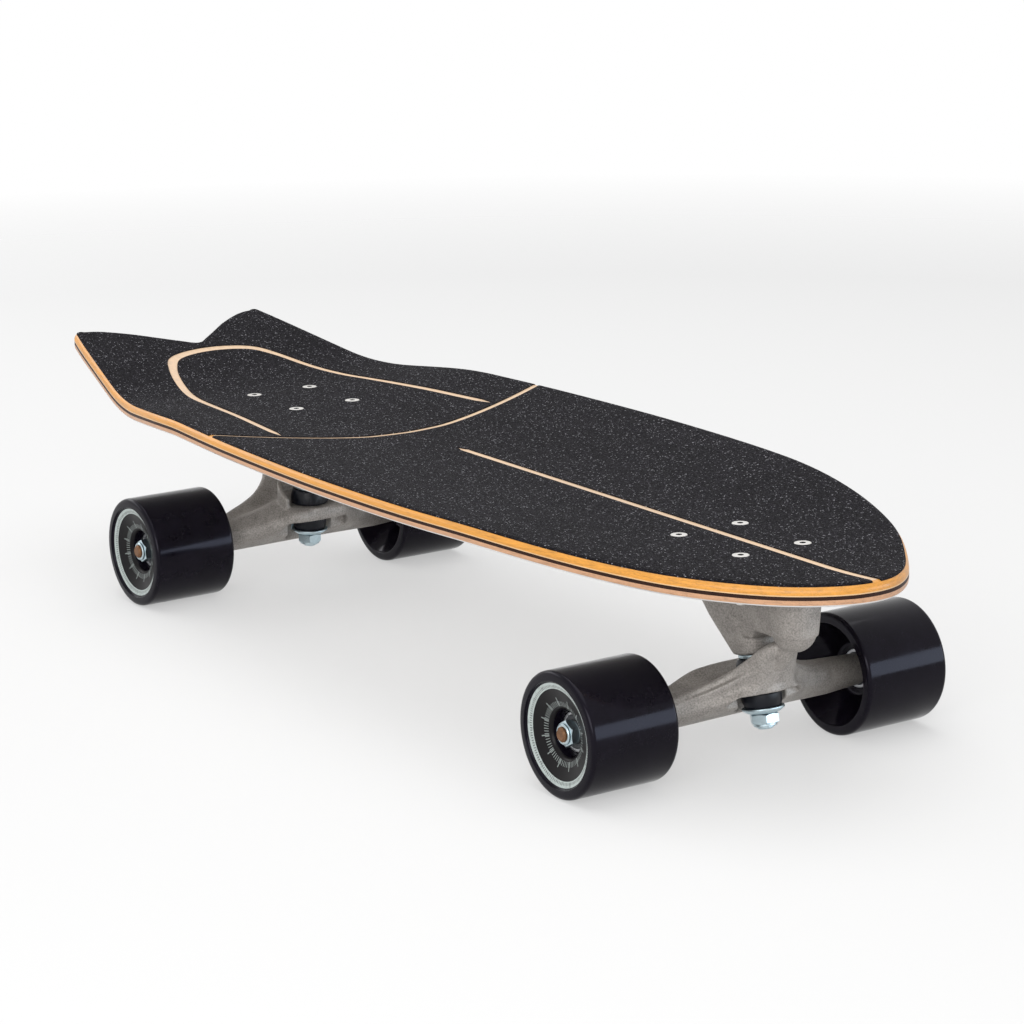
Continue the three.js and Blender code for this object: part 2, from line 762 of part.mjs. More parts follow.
// Wedge from the plate down to the kingpin's boss. Its back slopes, its front follows the kingpin.
function baseplateBody(truck) {
  const back = besideKingpin(truck, -kingpinBossRadius, bossFaceZ);
  const front = besideKingpin(truck, kingpinBossRadius, bossFaceZ);
  const slope = (back.out + bodyBack) / (plateBottom - back.z);
  const low = back.z - kingpinBossRadius;
  const root = plateBottom + plateThickness / 2;
  return loft([low, back.z, back.z + bodyShoulder, root].map((z) => {
    const share = THREE.MathUtils.clamp((z - back.z) / bodyShoulder, 0, 1);
    const half = THREE.MathUtils.lerp(kingpinBossRadius, bodyHalfWidth, share);
    const corner = Math.min(THREE.MathUtils.lerp(kingpinBossRadius, bodyCorner, share), half);
    const left = back.out - slope * (z - back.z);
    const right = front.out - Math.tan(lean(truck)) * (z - front.z);
    return roundedRing(left, right, -half, half, corner, z);
  }));
}

function pivotBoss(truck) {
  const centreZ = wheelRadius + truck.pivot.up - pivotBossDrop + pivotBossRadius;
  const steps = cornerFacets + 1;
  const bottom = Array.from({ length: steps + 1 }, (_, i) => {
    const angle = (Math.PI / 2) * (i / steps);
    return [pivotBossRadius * Math.sin(angle), centreZ - pivotBossRadius * Math.cos(angle)];
  });
  const profile = [...bottom, [pivotBossRadius, underside], [0, underside]];
  return turnedOnZ(profile, roundFacets).translate(truck.pivot.out, 0, 0);
}

// Web over the open arch between the two bosses
function baseplateWeb(truck) {
  const from = besideKingpin(truck, 0, kingpinReach).out;
  const half = pivotBossRadius * Math.cos(Math.PI / roundFacets);
  return loft([
    roundedRing(from, truck.pivot.out, -half, half, 0, wheelRadius + truck.archUp - archRadius),
    roundedRing(from, truck.pivot.out, -bodyHalfWidth, bodyHalfWidth, 0, plateBottom + plateThickness / 2),
  ]);
}

// Space between the bosses, round at the top and open from side to side
function archCutter(truck) {
  const top = wheelRadius + truck.archUp;
  const left = besideKingpin(truck, kingpinBossRadius, bossFaceZ).out;
  const right = truck.pivot.out + bodyHalfWidth;
  const ends = [-bodyHalfWidth - overrun, bodyHalfWidth + overrun];
  const rings = ends.map((end) => roundedRing(left, right, top - overrun, top, archRadius, end));
  return loft(rings).rotateX(Math.PI / 2);
}

// Profile of a rod from a height up to a half ball, whose middle is at zero
function roundEnded(radius, from) {
  const steps = cornerFacets + 1;
  const ball = Array.from({ length: steps + 1 }, (_, i) => {
    const angle = (Math.PI / 2) * (i / steps);
    return [radius * Math.cos(angle), radius * Math.sin(angle)];
  });
  return [[0, from], [radius, from], ...ball];
}

function baseplate(truck) {
  const [back, front] = [plateOffset - plateLength / 2, plateOffset + plateLength / 2];
  const side = plateWidth / 2;
  const headHole = kingpinHeadAcross / 2 / Math.cos(Math.PI / 6) + kingpinHeadSpace;
  const cupHole = pivotRadius + turnGap + pivotCupWall + seatGap;
  const boltHoles = boltPattern().map(([x, y]) => (
    rod(boltRadius + boltHoleGap, plateBottom - overrun, underside + overrun).translate(x, y, 0)
  ));
  const plate = roundedBlock(back, front, -side, side, plateCorner, plateBottom, underside);
  const arched = shaped(plate, [baseplateBody(truck), baseplateWeb(truck)], [archCutter(truck)]);
  return shaped(arched, [pivotBoss(truck)], [
    alongKingpin(truck, rod(kingpinBossRadius + bodyShoulder, bossFaceZ - overrun, bossFaceZ)),
    alongKingpin(truck, rod(kingpinRadius + seatGap, bossFaceZ - overrun, kingpinReach)),
    alongKingpin(truck, rod(headHole, kingpinReach - seatGap, kingpinReach + overrun)),
    alongSteering(truck, turnedOnZ(roundEnded(cupHole, -overrun), roundFacets)),
    ...boltHoles,
  ]);
}

// Lining of the pivot's socket
function pivotCup() {
  const inside = roundEnded(pivotRadius + turnGap, -pivotCupMouth).slice(1);
  const outside = roundEnded(pivotRadius + turnGap + pivotCupWall, -pivotCupMouth).slice(1);
  return turnedOnZ([...inside.reverse(), ...outside], roundFacets);
}

// Kingpin stack

function kingpin() {
  const end = kingpinNutZ - kingpinTip;
  const top = kingpinReach + kingpinHeadHeight / 2;
  const shank = turnedOnZ([
    [0, end], [kingpinRadius - kingpinTip / 2, end], [kingpinRadius, end + kingpinTip / 2],
    [kingpinRadius, top], [0, top],
  ], roundFacets);
  const head = prism(hexagon(kingpinHeadAcross), kingpinHeadHeight).translate(0, 0, kingpinReach);
  return shaped(head, [shank], []);
}

function kingpinNut() {
  return nut(kingpinNutAcross, kingpinNutHeight, kingpinRadius + threadGap);
}

function flatWasher(radius, bore, thickness) {
  const profile = [[bore, 0], [radius, 0], [radius, thickness], [bore, thickness]];
  return turnedOnZ(closed(profile), roundFacets);
}

function topWasher() {
  return flatWasher(topWasherRadius, kingpinRadius + turnGap, washerThickness);
}

// Cupped washer: a small foot and a flared wall that holds the bushing's end
function bottomWasher() {
  const bore = kingpinRadius + turnGap;
  const seat = bottomBushingRadius * bushingEndShare + turnGap;
  const rim = washerThickness + washerLip;
  return turnedOnZ(closed([
    [bore, 0], [seat - washerLip, 0], [bottomWasherRadius, washerThickness],
    [bottomWasherRadius, rim], [seat, rim], [seat, washerThickness], [bore, washerThickness],
  ]), roundFacets);
}

// Bushing with soft edges, narrower at the end towards its washer
function bushing(radius, height, washerAbove) {
  const bore = kingpinRadius + turnGap;
  const small = radius * bushingEndShare;
  const geometry = turnedOnZ(closed([
    [bore, 0], [radius - bushingEdge, 0], [radius, bushingEdge],
    [small, height - bushingEdge], [small - bushingEdge, height], [bore, height],
  ]), roundFacets);
  return washerAbove ? geometry : geometry.rotateX(Math.PI).translate(0, 0, height);
}

// Hangers

function armRing(truck, y) {
  const share = Math.min(Math.abs(y) / armStart, 1);
  const endShare = Math.max((Math.abs(y) - armStart) / (hangerHalfLength - armStart), 0);
  const arm = THREE.MathUtils.lerp(casingRadius, armRadius, share);
  const radius = THREE.MathUtils.lerp(arm, armEndRadius, endShare);
  const reach = Math.hypot(truck.pivot.out - truck.axleOut, truck.pivot.up);
  return sectionShares[truck.name].map(([degrees, group, outShare, upShare]) => {
    const angle = THREE.MathUtils.degToRad(degrees);
    const [out, up] = [radius * Math.cos(angle), radius * Math.sin(angle)];
    const grown = group === 'casing' ? 0 : readShares(growthShares[truck.name][group], share);
    return new THREE.Vector3(
      truck.axleOut + THREE.MathUtils.lerp(out, reach * (outShare ?? 0), grown),
      y,
      wheelRadius + THREE.MathUtils.lerp(up, reach * (upShare ?? 0), grown),
    );
  });
}

// Nose on the steering axis: a cone that ends in the pivot's round tip
function pivotNose() {
  const tip = roundEnded(pivotRadius, -pivotCupMouth - pivotSeatGap).slice(1);
  return turnedOnZ([
    [0, -pivotNeckLength], [pivotNeckRadius, -pivotNeckLength], [pivotNeckRadius, -pivotBossRadius], ...tip,
  ], roundFacets);
}

// Dish round the nose that keeps the hanger clear of the pivot's boss at every steering angle
function pivotDish(truck) {
  const drop = pivotBossRadius - pivotBossDrop;
  const centreAcross = drop * Math.sin(steerAngle(truck));
  const centreUp = drop * Math.cos(steerAngle(truck));
  const radius = pivotBossRadius + pivotSeatGap;
  const steps = 2 * cornerFacets;
  const bowl = Array.from({ length: steps + 1 }, (_, i) => {
    const angle = (Math.PI / 2) * (i / steps);
    return [centreAcross + radius * Math.sin(angle), centreUp - radius * Math.cos(angle)];
  }).filter(([across]) => across > pivotNeckRadius);
  const top = centreUp + overrun;
  return turnedOnZ(closed([
    [pivotNeckRadius, centreUp - radius], ...bowl, [centreAcross + radius, top], [pivotNeckRadius, top],
  ]), roundFacets);
}

// Slot where the lower bushing shows, open to one side of the hanger
function slotCutter(truck) {
  const near = ringThickness / 2;
  const rings = [0, overrun].map((depth) => (
    roundedRing(near, near + overrun, -slotHalfWidth, slotHalfWidth, slotCorner, depth)
  ));
  return alongKingpin(truck, loft(rings).rotateY(Math.PI / 2).rotateZ(truck.slotTurn));
}

function axleBore(truck) {
  const [radius, end] = [axleRadius + seatGap, hangerHalfLength + overrun];
  const bore = turnedOnY([[0, -end], [radius, -end], [radius, end], [0, end]], roundFacets);
  return bore.translate(truck.axleOut, 0, wheelRadius);
}

function hanger(truck) {
  const sides = armStationShares.map((share) => share * armStart);
  const mirroredSides = sides.slice(1).reverse().map((y) => -y);
  const stations = [-hangerHalfLength, ...mirroredSides, ...sides, hangerHalfLength];
  const ringRadius = topBushingRadius + ringWall;
  const pocketRadius = topBushingRadius + truck.bushingSpace;
  return shaped(loft(stations.map((y) => armRing(truck, y))), [
    alongKingpin(truck, rod(ringRadius, -ringThickness / 2, ringThickness / 2)),
    alongSteering(truck, pivotNose()),
  ], [
    alongSteering(truck, pivotDish(truck)),
    alongKingpin(truck, rod(kingpinRadius + kingpinSwing, -overrun, overrun)),
    alongKingpin(truck, rod(pocketRadius, ringThickness / 2, overrun)),
    alongKingpin(truck, rod(bottomWasherRadius + pocketSwing, -overrun, -ringThickness / 2)),
    slotCutter(truck),
    axleBore(truck),
  ]);
}

function axle() {
  const end = axleRadius - axleTip / 2;
  return turnedOnY([
    [0, -axleHalfLength], [end, -axleHalfLength], [axleRadius, axleTip / 2 - axleHalfLength],
    [axleRadius, axleHalfLength - axleTip / 2], [end, axleHalfLength], [0, axleHalfLength],
  ], roundFacets);
}

// Wheels and bearings, revolved on the axle, with their outer faces towards +Y

function wheel() {
  const seat = bearingRadius + threadGap;
  const bore = bearingRadius - bearingShoulder;
  const lipStart = wheelRadius - wheelLip;
  const lip = wheelLipShares.map((share) => {
    const angle = (Math.PI / 2) * share;
    return [lipStart + wheelLip * Math.sin(angle), wheelLip * (1 - Math.cos(angle))];
  });
  const faceY = wheelOuterY - faceDish;
  const innerEnd = innerBearingY + bearingWidth + threadGap;
  const outerStart = outerBearingY - threadGap;
  const [wallShare, depthShare] = innerRecessShares;
  return turnedOnY(closed([
    [bore, innerEnd], [bore, outerStart], [seat, outerStart], [seat, outerBearingY + bearingWidth],
    [hubRecessRadius, faceY], [faceRadius, faceY], [lipStart, wheelOuterY],
    ...lip.map(([radius, drop]) => [radius, wheelOuterY - drop]),
    ...lip.slice().reverse().map(([radius, drop]) => [radius, wheelInnerY + drop]),
    [lipStart, wheelInnerY], [innerRecessMouth, wheelInnerY + faceDish],
    [
      THREE.MathUtils.lerp(innerRecessFloor, innerRecessMouth, wallShare),
      innerBearingY - innerRecessDepth * depthShare,
    ],
    [innerRecessFloor, innerBearingY], [seat, innerBearingY], [seat, innerEnd],
  ]), wheelFacets);
}

// Ball bearing, whose shield is sunk inside its outer race on one side
function bearing() {
  const bore = (axleRadius + threadGap) / Math.cos(Math.PI / roundFacets);
  const outerRace = bearingRadius - bearingRace;
  const sunk = bearingWidth - bearingGroove;
  return turnedOnY(closed([
    [bore, 0], [bearingRadius, 0], [bearingRadius, bearingWidth], [outerRace, bearingWidth],
    [outerRace, sunk], [bore, sunk],
  ]), roundFacets);
}

function axleWasher() {
  return flatWasher(axleWasherRadius, axleRadius + threadGap, axleWasherThickness).rotateX(-Math.PI / 2);
}

function axleNut() {
  return nut(axleNutAcross, axleNutHeight, axleRadius + threadGap).rotateX(-Math.PI / 2);
}

// Finishes

function finish(color, roughness, metalness) {
  return new THREE.MeshStandardMaterial({ color, roughness, metalness, flatShading: true });
}

function woodFinish() {
  return finish(0xc98a3c, 0.45, 0);
}

function gripFinish() {
  return finish(0x232323, 0.95, 0);
}

function castFinish() {
  return finish(0x9a948c, 0.5, 0.8);
}

function zincFinish() {
  return finish(0xb9c6cc, 0.3, 0.9);
}

function brassFinish() {
  return finish(0xb3935c, 0.35, 0.9);
}

function nickelFinish() {
  return finish(0xd0cec9, 0.3, 0.9);
}

function urethaneFinish() {
  return finish(0x16171a, 0.2, 0);
}

function bushingFinish() {
  return finish(0x15171c, 0.4, 0);
}

// Assembly

function piece(parent, name, geometry, material, x = 0, y = 0, z = 0) {
  const mesh = new THREE.Mesh(geometry, material);
  mesh.name = name;
  mesh.position.set(x, y, z);
  parent.add(mesh);
  return mesh;
}

function addDeck(parent) {
  piece(parent, 'deck', deck(), woodFinish());
  piece(parent, 'grip_tail', gripTail(), gripFinish());
  piece(parent, 'grip_nose', gripNose(), gripFinish());
}

function addBolts(parent, truck) {
  boltPattern().forEach(([x, y], i) => {
    const nutZ = plateBottom - boltNutHeight;
    piece(parent, `${truck.name}_bolt_${i + 1}`, bolt(), nickelFinish(), x, y, gripTop);
    piece(parent, `${truck.name}_bolt_nut_${i + 1}`, boltNut(), brassFinish(), x, y, nutZ);
  });
}

function addKingpinStack(parent, truck) {
  const stack = new THREE.Group();
  stack.position.set(truck.ring.out, 0, wheelRadius + truck.ring.up);
  stack.rotation.y = -lean(truck);
  parent.add(stack);
  const add = (name, geometry, material, z) => (
    piece(stack, `${truck.name}_${name}`, geometry, material, 0, 0, z)
  );
  const topBushing = bushing(topBushingRadius, topBushingHeight, true);
  const bottomBushing = bushing(bottomBushingRadius, bottomBushingHeight, false);
  add('kingpin', kingpin(), zincFinish(), 0);
  add('kingpin_nut', kingpinNut(), zincFinish(), kingpinNutZ);
  add('top_washer', topWasher(), zincFinish(), topWasherZ);
  add('top_bushing', topBushing, bushingFinish(), topBushingZ);
  add('bottom_bushing', bottomBushing, bushingFinish(), bottomBushingZ);
  add('bottom_washer', bottomWasher(), zincFinish(), bottomWasherZ);
}

function addWheel(parent, truck, side) {
  const label = side * Math.cos(truck.turn) > 0 ? 'left' : 'right';
  const end = new THREE.Group();
  end.position.set(truck.axleOut, 0, wheelRadius);
  end.rotation.z = side > 0 ? 0 : Math.PI;
  parent.add(end);
  const add = (name, geometry, material, y) => (
    piece(end, `${truck.name}_${label}_${name}`, geometry, material, 0, y, 0)
  );
  add('wheel', wheel(), urethaneFinish(), 0);
  add('outer_bearing', bearing(), zincFinish(), outerBearingY);
  const inner = add('inner_bearing', bearing(), zincFinish(), innerBearingY + bearingWidth);
  inner.rotation.x = Math.PI;
  add('axle_washer', axleWasher(), zincFinish(), axleWasherY);
  add('axle_nut', axleNut(), zincFinish(), axleNutY);
}

function addTruck(parent, truck) {
  const frame = new THREE.Group();
  frame.position.x = truckX(truck);
  frame.rotation.z = truck.turn;
  parent.add(frame);
  addBolts(frame, truck);
  piece(frame, `${truck.name}_baseplate`, baseplate(truck), castFinish());
  const pivotZ = wheelRadius + truck.pivot.up;
  const cup = piece(
    frame, `${truck.name}_pivot_cup`, pivotCup(), bushingFinish(), truck.pivot.out, 0, pivotZ,
  );
  cup.rotation.y = steerAngle(truck);
  piece(frame, `${truck.name}_hanger`, hanger(truck), castFinish());
  piece(frame, `${truck.name}_axle`, axle(), zincFinish(), truck.axleOut, 0, wheelRadius);
  addKingpinStack(frame, truck);
  for (const side of [1, -1]) addWheel(frame, truck, side);
}

function surfSkateboard() {
  const board = new THREE.Group();
  addDeck(board);
  for (const truck of trucks) addTruck(board, truck);
  return board;
}

export default surfSkateboard();
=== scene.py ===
import json
import math

import bmesh
import bpy
from mathutils import Matrix, Vector


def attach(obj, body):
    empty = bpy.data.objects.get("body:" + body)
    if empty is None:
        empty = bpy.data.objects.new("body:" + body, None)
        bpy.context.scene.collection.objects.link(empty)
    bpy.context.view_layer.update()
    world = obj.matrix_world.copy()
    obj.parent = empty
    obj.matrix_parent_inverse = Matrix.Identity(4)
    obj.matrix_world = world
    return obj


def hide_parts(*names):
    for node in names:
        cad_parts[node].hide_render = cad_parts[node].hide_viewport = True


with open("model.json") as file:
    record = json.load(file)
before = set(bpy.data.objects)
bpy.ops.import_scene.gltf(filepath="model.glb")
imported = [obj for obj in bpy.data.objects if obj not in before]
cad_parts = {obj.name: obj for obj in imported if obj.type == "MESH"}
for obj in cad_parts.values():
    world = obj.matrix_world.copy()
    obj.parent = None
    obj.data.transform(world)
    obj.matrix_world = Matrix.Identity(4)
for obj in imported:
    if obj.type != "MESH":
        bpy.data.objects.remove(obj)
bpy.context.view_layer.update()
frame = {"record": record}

# Surf skateboard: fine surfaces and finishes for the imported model.
# Lengths in the dictionaries are millimetres. +X points to the nose, and the floor is z = 0.
mm = 0.001
record = frame["record"]
bodyOfNode = {node: body for body, nodes in record["behaviour"]["bodies"].items() for node in nodes}

board = {
    "length": 760, "width": 251, "thickness": 10.8, "underside": 110.5,
    "wheelbase": 460.4, "wheelbaseShift": 35.5, "wheelRadius": 34.5,
}
halfLength, halfWidth = board["length"] / 2, board["width"] / 2
deckTop = board["underside"] + board["thickness"]
overrun = 40  # how far a cutter reaches past what it cuts
cutLow, cutHigh = 60, 260  # heights well under and over the deck


# Node helpers

def addNode(tree, kind, settings=None, inputs=None):
    node = tree.nodes.new(kind)
    for key, value in (settings or {}).items():
        setattr(node, key, value)
    for key, value in (inputs or {}).items():
        if isinstance(value, bpy.types.NodeSocket):
            tree.links.new(value, node.inputs[key])
        else:
            node.inputs[key].default_value = value
    return node


def startMaterial(name, look):
    material = bpy.data.materials.new(name)
    material.use_nodes = True
    material.diffuse_color = (*look["color"], 1)
    shader = material.node_tree.nodes["Principled BSDF"]
    for socket, value in (
        ("Base Color", (*look["color"], 1)), ("Roughness", look["roughness"]),
        ("Metallic", look.get("metallic", 0)), ("Specular IOR Level", look.get("specular", 0.5)),
        ("Specular Tint", (*look.get("sheenTint", (1, 1, 1)), 1)),
        ("Coat Weight", look.get("coat", 0)), ("Coat Roughness", 0.1),
    ):
        shader.inputs[socket].default_value = value
    return material, material.node_tree, shader


# Place on the piece in metres, stretched by a scale along each axis
def placeOn(tree, scale=(1, 1, 1)):
    place = addNode(tree, "ShaderNodeTexCoord").outputs["Object"]
    return addNode(tree, "ShaderNodeMapping", None, {"Vector": place, "Scale": scale}).outputs["Vector"]


def noise(tree, vector, scale, detail=3.0, roughness=0.55):
    inputs = {"Vector": vector, "Scale": scale, "Detail": detail, "Roughness": roughness}
    return addNode(tree, "ShaderNodeTexNoise", None, inputs).outputs["Fac"]


def ramp(tree, value, stops):
    node = addNode(tree, "ShaderNodeValToRGB", None, {"Fac": value})
    while len(node.color_ramp.elements) < len(stops):
        node.color_ramp.elements.new(0.5)
    for element, (position, color) in zip(node.color_ramp.elements, stops):
        element.position = position
        element.color = (*color, 1)
    return node.outputs["Color"]


def mixColor(tree, factor, first, second, blend="MIX"):
    first, second = ((*color, 1) if isinstance(color, tuple) else color for color in (first, second))
    settings = {"data_type": "RGBA", "blend_type": blend}
    return addNode(tree, "ShaderNodeMix", settings, {0: factor, 6: first, 7: second}).outputs[2]


def mapRange(tree, value, low, high, newLow, newHigh):
    inputs = {"Value": value, "From Min": low, "From Max": high, "To Min": newLow, "To Max": newHigh}
    return addNode(tree, "ShaderNodeMapRange", None, inputs).outputs["Result"]


def calc(tree, operation, first, second=0.0):
    return addNode(tree, "ShaderNodeMath", {"operation": operation}, {0: first, 1: second}).outputs[0]


def bumpFrom(tree, shader, height, strength, distance, before=None):
    inputs = {"Height": height, "Strength": strength, "Distance": distance * mm}
    if before is not None:
        inputs["Normal"] = before
    normal = addNode(tree, "ShaderNodeBump", None, inputs).outputs["Normal"]
    tree.links.new(normal, shader.inputs["Normal"])
    return normal


def shade(color, share):
    return tuple(min(c * share, 1) for c in color)


# Base colour in shades that follow a value, as (value, share) steps
def shadeBy(tree, shader, value, color, steps):
    stops = [(at, shade(color, share)) for at, share in steps]
    tree.links.new(ramp(tree, value, stops), shader.inputs["Base Color"])


def roughBy(tree, shader, value, span, ends):
    tree.links.new(mapRange(tree, value, *span, *ends), shader.inputs["Roughness"])


# Finishes. Noise scales are per metre, and depths of grain are millimetres.

# Black grip tape. The darker grain shades are the grit's own tone. The brightest grain shades and the sparkle
# colour are painted highlights: the sparkle of grit facets painted into its colour.
gripLook = {
    "color": (0.0092, 0.0084, 0.0106), "roughness": 0.9, "specular": 0.08, "grainSize": 0.62,
    "grainHeight": 0.35, "grainToneAndGlintShades": ((0, 0.35), (0.6, 1), (0.86, 2.1), (0.965, 4.6)),
    "paintedGlint": (0.4, 0.4, 0.43), "grainRoughness": (0.6, 1), "cloud": 22, "cloudShades": (0.86, 1.14),
    "fine": 2600,
}


def gripMaterial():
    look = gripLook
    material, tree, shader = startMaterial("blackGrip", look)
    place = placeOn(tree)
    grains = addNode(tree, "ShaderNodeTexVoronoi", None, {"Vector": place, "Scale": 1000 / look["grainSize"]})
    tone = addNode(tree, "ShaderNodeSeparateColor", None, {"Color": grains.outputs["Color"]})
    # Painted highlights: the top steps of this ramp and its last colour paint sparkle onto a few grains
    stops = [(at, shade(look["color"], share)) for at, share in look["grainToneAndGlintShades"]]
    color = ramp(tree, tone.outputs["Red"], [*stops, (1, look["paintedGlint"])])
    cloud = mapRange(tree, noise(tree, place, look["cloud"], 4), 0.3, 0.7, *look["cloudShades"])
    cloudColor = addNode(tree, "ShaderNodeCombineColor", None, {"Red": cloud, "Green": cloud, "Blue": cloud})
    color = mixColor(tree, 1.0, color, cloudColor.outputs["Color"], "MULTIPLY")
    tree.links.new(color, shader.inputs["Base Color"])
    roughBy(tree, shader, tone.outputs["Green"], (0, 1), look["grainRoughness"])
    first = bumpFrom(tree, shader, tone.outputs["Blue"], 0.7, look["grainHeight"])
    bumpFrom(tree, shader, noise(tree, place, look["fine"], 2), 0.4, look["grainHeight"] / 2, first)
    return material


plyLooks = {
    "amberPly": {"color": (0.76, 0.33, 0.045), "roughness": 0.42, "coat": 0.2, "streak": 0.32},
    "lightPly": {"color": (0.82, 0.53, 0.27), "roughness": 0.45, "coat": 0.2, "streak": 0.15},
    "blackPly": {"color": (0.032, 0.013, 0.008), "roughness": 0.5, "specular": 0.15, "streak": 0.5},
    "rosePly": {"color": (0.62, 0.34, 0.19), "roughness": 0.45, "coat": 0.2, "streak": 0.3},
    "paleFace": {"color": (0.74, 0.72, 0.70), "roughness": 0.35, "coat": 0.3, "streak": 0.06},
    "mapleFace": {"color": (0.88, 0.63, 0.42), "roughness": 0.5, "coat": 0.1, "streak": 0.16},
}
woodGrain = {"fibres": (10, 260, 900), "pores": (120, 1500, 2400), "poreShare": 0.35, "depth": 0.08}


def plyMaterial(name):
    look, grain = plyLooks[name], woodGrain
    material, tree, shader = startMaterial(name, look)
    fibres = noise(tree, placeOn(tree, grain["fibres"]), 1, 5, 0.6)
    pores = noise(tree, placeOn(tree, grain["pores"]), 1, 2, 0.5)
    both = mixColor(tree, grain["poreShare"], fibres, pores)
    streak, rough = look["streak"], look["roughness"]
    shadeBy(tree, shader, both, look["color"], ((0.32, 1 - streak), (0.5, 1), (0.68, 1 + streak * 0.6)))
    roughBy(tree, shader, fibres, (0.3, 0.7), (rough - 0.08, rough + 0.1))
    bumpFrom(tree, shader, both, 0.25, grain["depth"])
    return material


metalLooks = {
    "castAluminium": {
        "color": (0.338, 0.314, 0.292), "roughness": 0.62, "metallic": 0.55, "mottle": 0.5,
        "grain": 1100, "depth": 0.16, "fineShare": 0.6, "pits": 420, "pitDepth": 0.3,
    },
    "zincSteel": {"color": (0.47, 0.57, 0.61), "roughness": 0.33, "mottle": 0.2, "grain": 700, "depth": 0.02},
    "brightNickel": {
        "color": (0.74, 0.72, 0.69), "roughness": 0.32, "metallic": 0.9, "mottle": 0.12, "grain": 900,
        "depth": 0.02,
    },
    "yellowBrass": {
        "color": (0.55, 0.42, 0.24), "roughness": 0.34, "mottle": 0.3, "grain": 700, "depth": 0.03,
    },
    "groundSteel": {
        "color": (0.50, 0.51, 0.53), "roughness": 0.28, "mottle": 0.1, "grain": 1500, "depth": 0.01,
    },
    "copperEndThread": {
        "color": (0.185, 0.09, 0.042), "roughness": 0.5, "metallic": 0.6, "mottle": 0.55, "grain": 900,
        "depth": 0.05, "thread": 0.8, "threadDepth": 0.35,
    },
}


def metalMaterial(name):
    look = {"metallic": 1, "cloud": 75, "fineShare": 0.4, **metalLooks[name]}
    material, tree, shader = startMaterial(name, look)
    place = placeOn(tree)
    cloud, fine = noise(tree, place, look["cloud"], 5, 0.6), noise(tree, place, look["grain"], 3, 0.6)
    both = mixColor(tree, look["fineShare"], cloud, fine)
    mottle, rough = look["mottle"], look["roughness"]
    shadeBy(tree, shader, both, look["color"], ((0.3, 1 - mottle), (0.5, 1), (0.7, 1 + mottle * 0.7)))
    roughBy(tree, shader, both, (0.3, 0.7), (rough + 0.12, rough - 0.08))
    first = bumpFrom(tree, shader, fine, 0.5, look["depth"])
    if "thread" in look:
        settings = {"wave_type": "BANDS", "bands_direction": "Y", "wave_profile": "TRI"}
        wave = addNode(tree, "ShaderNodeTexWave", settings, {"Vector": place, "Scale": look["thread"]})
        bumpFrom(tree, shader, wave.outputs["Fac"], 0.9, look["threadDepth"], first)
    elif "pits" in look:
        bumpFrom(tree, shader, noise(tree, place, look["pits"], 4, 0.6), 0.55, look["pitDepth"], first)
    return material


plasticLooks = {
    "blackUrethane": {
        "color": (0.0042, 0.0032, 0.0062), "roughness": 0.12, "specular": 0.14, "scuff": 0.3,
        "sheenTint": (0.87, 0.84, 1),
    },
    "blackBushing": {"color": (0.006, 0.007, 0.011), "roughness": 0.35, "specular": 0.25, "scuff": 0.2},
    "darkShield": {"color": (0.035, 0.038, 0.043), "roughness": 0.4, "scuff": 0.15},
    "whiteNylon": {"color": (0.66, 0.70, 0.69), "roughness": 0.4, "scuff": 0.1},
    # Near-black for the inside of the bolts' hex sockets: painted shade in the recess
    "paintedSocketShade": {"color": (0.012, 0.011, 0.010), "roughness": 0.6, "specular": 0.2, "scuff": 0.2},
}


def plasticMaterial(name):
    look = {"cloud": 90, "fine": 260, "depth": 0.02, **plasticLooks[name]}
    material, tree, shader = startMaterial(name, look)
    place = placeOn(tree)
    cloud = noise(tree, place, look["cloud"], 5, 0.65)
    scuff, rough = look["scuff"], look["roughness"]
    shadeBy(tree, shader, cloud, look["color"], ((0.3, 1 - scuff), (0.7, 1 + scuff)))
    roughBy(tree, shader, cloud, (0.3, 0.75), (rough - 0.04, rough + 0.1))
    bumpFrom(tree, shader, noise(tree, place, look["fine"], 4, 0.6), 0.25, look["depth"])
    return material


printLook = {
    "ink": (0.52, 0.58, 0.56), "color": (0.007, 0.006, 0.007), "roughness": 0.3, "specular": 0.15,
    "ringInner": 24.6, "ringOuter": 28.1, "cutInner": 25.2, "cutOuter": 26.6, "cuts": 120, "cutDepth": 0.6,
    "tickInner": 14.8, "tickOuter": 17.6, "ticks": 72, "tickShare": 0.28, "longTickOuter": 19.6,
    "longTicks": 12, "longTickShare": 0.06, "tickInk": 0.55, "wear": 420, "wornInk": 0.65, "inkDepth": 0.05,
}


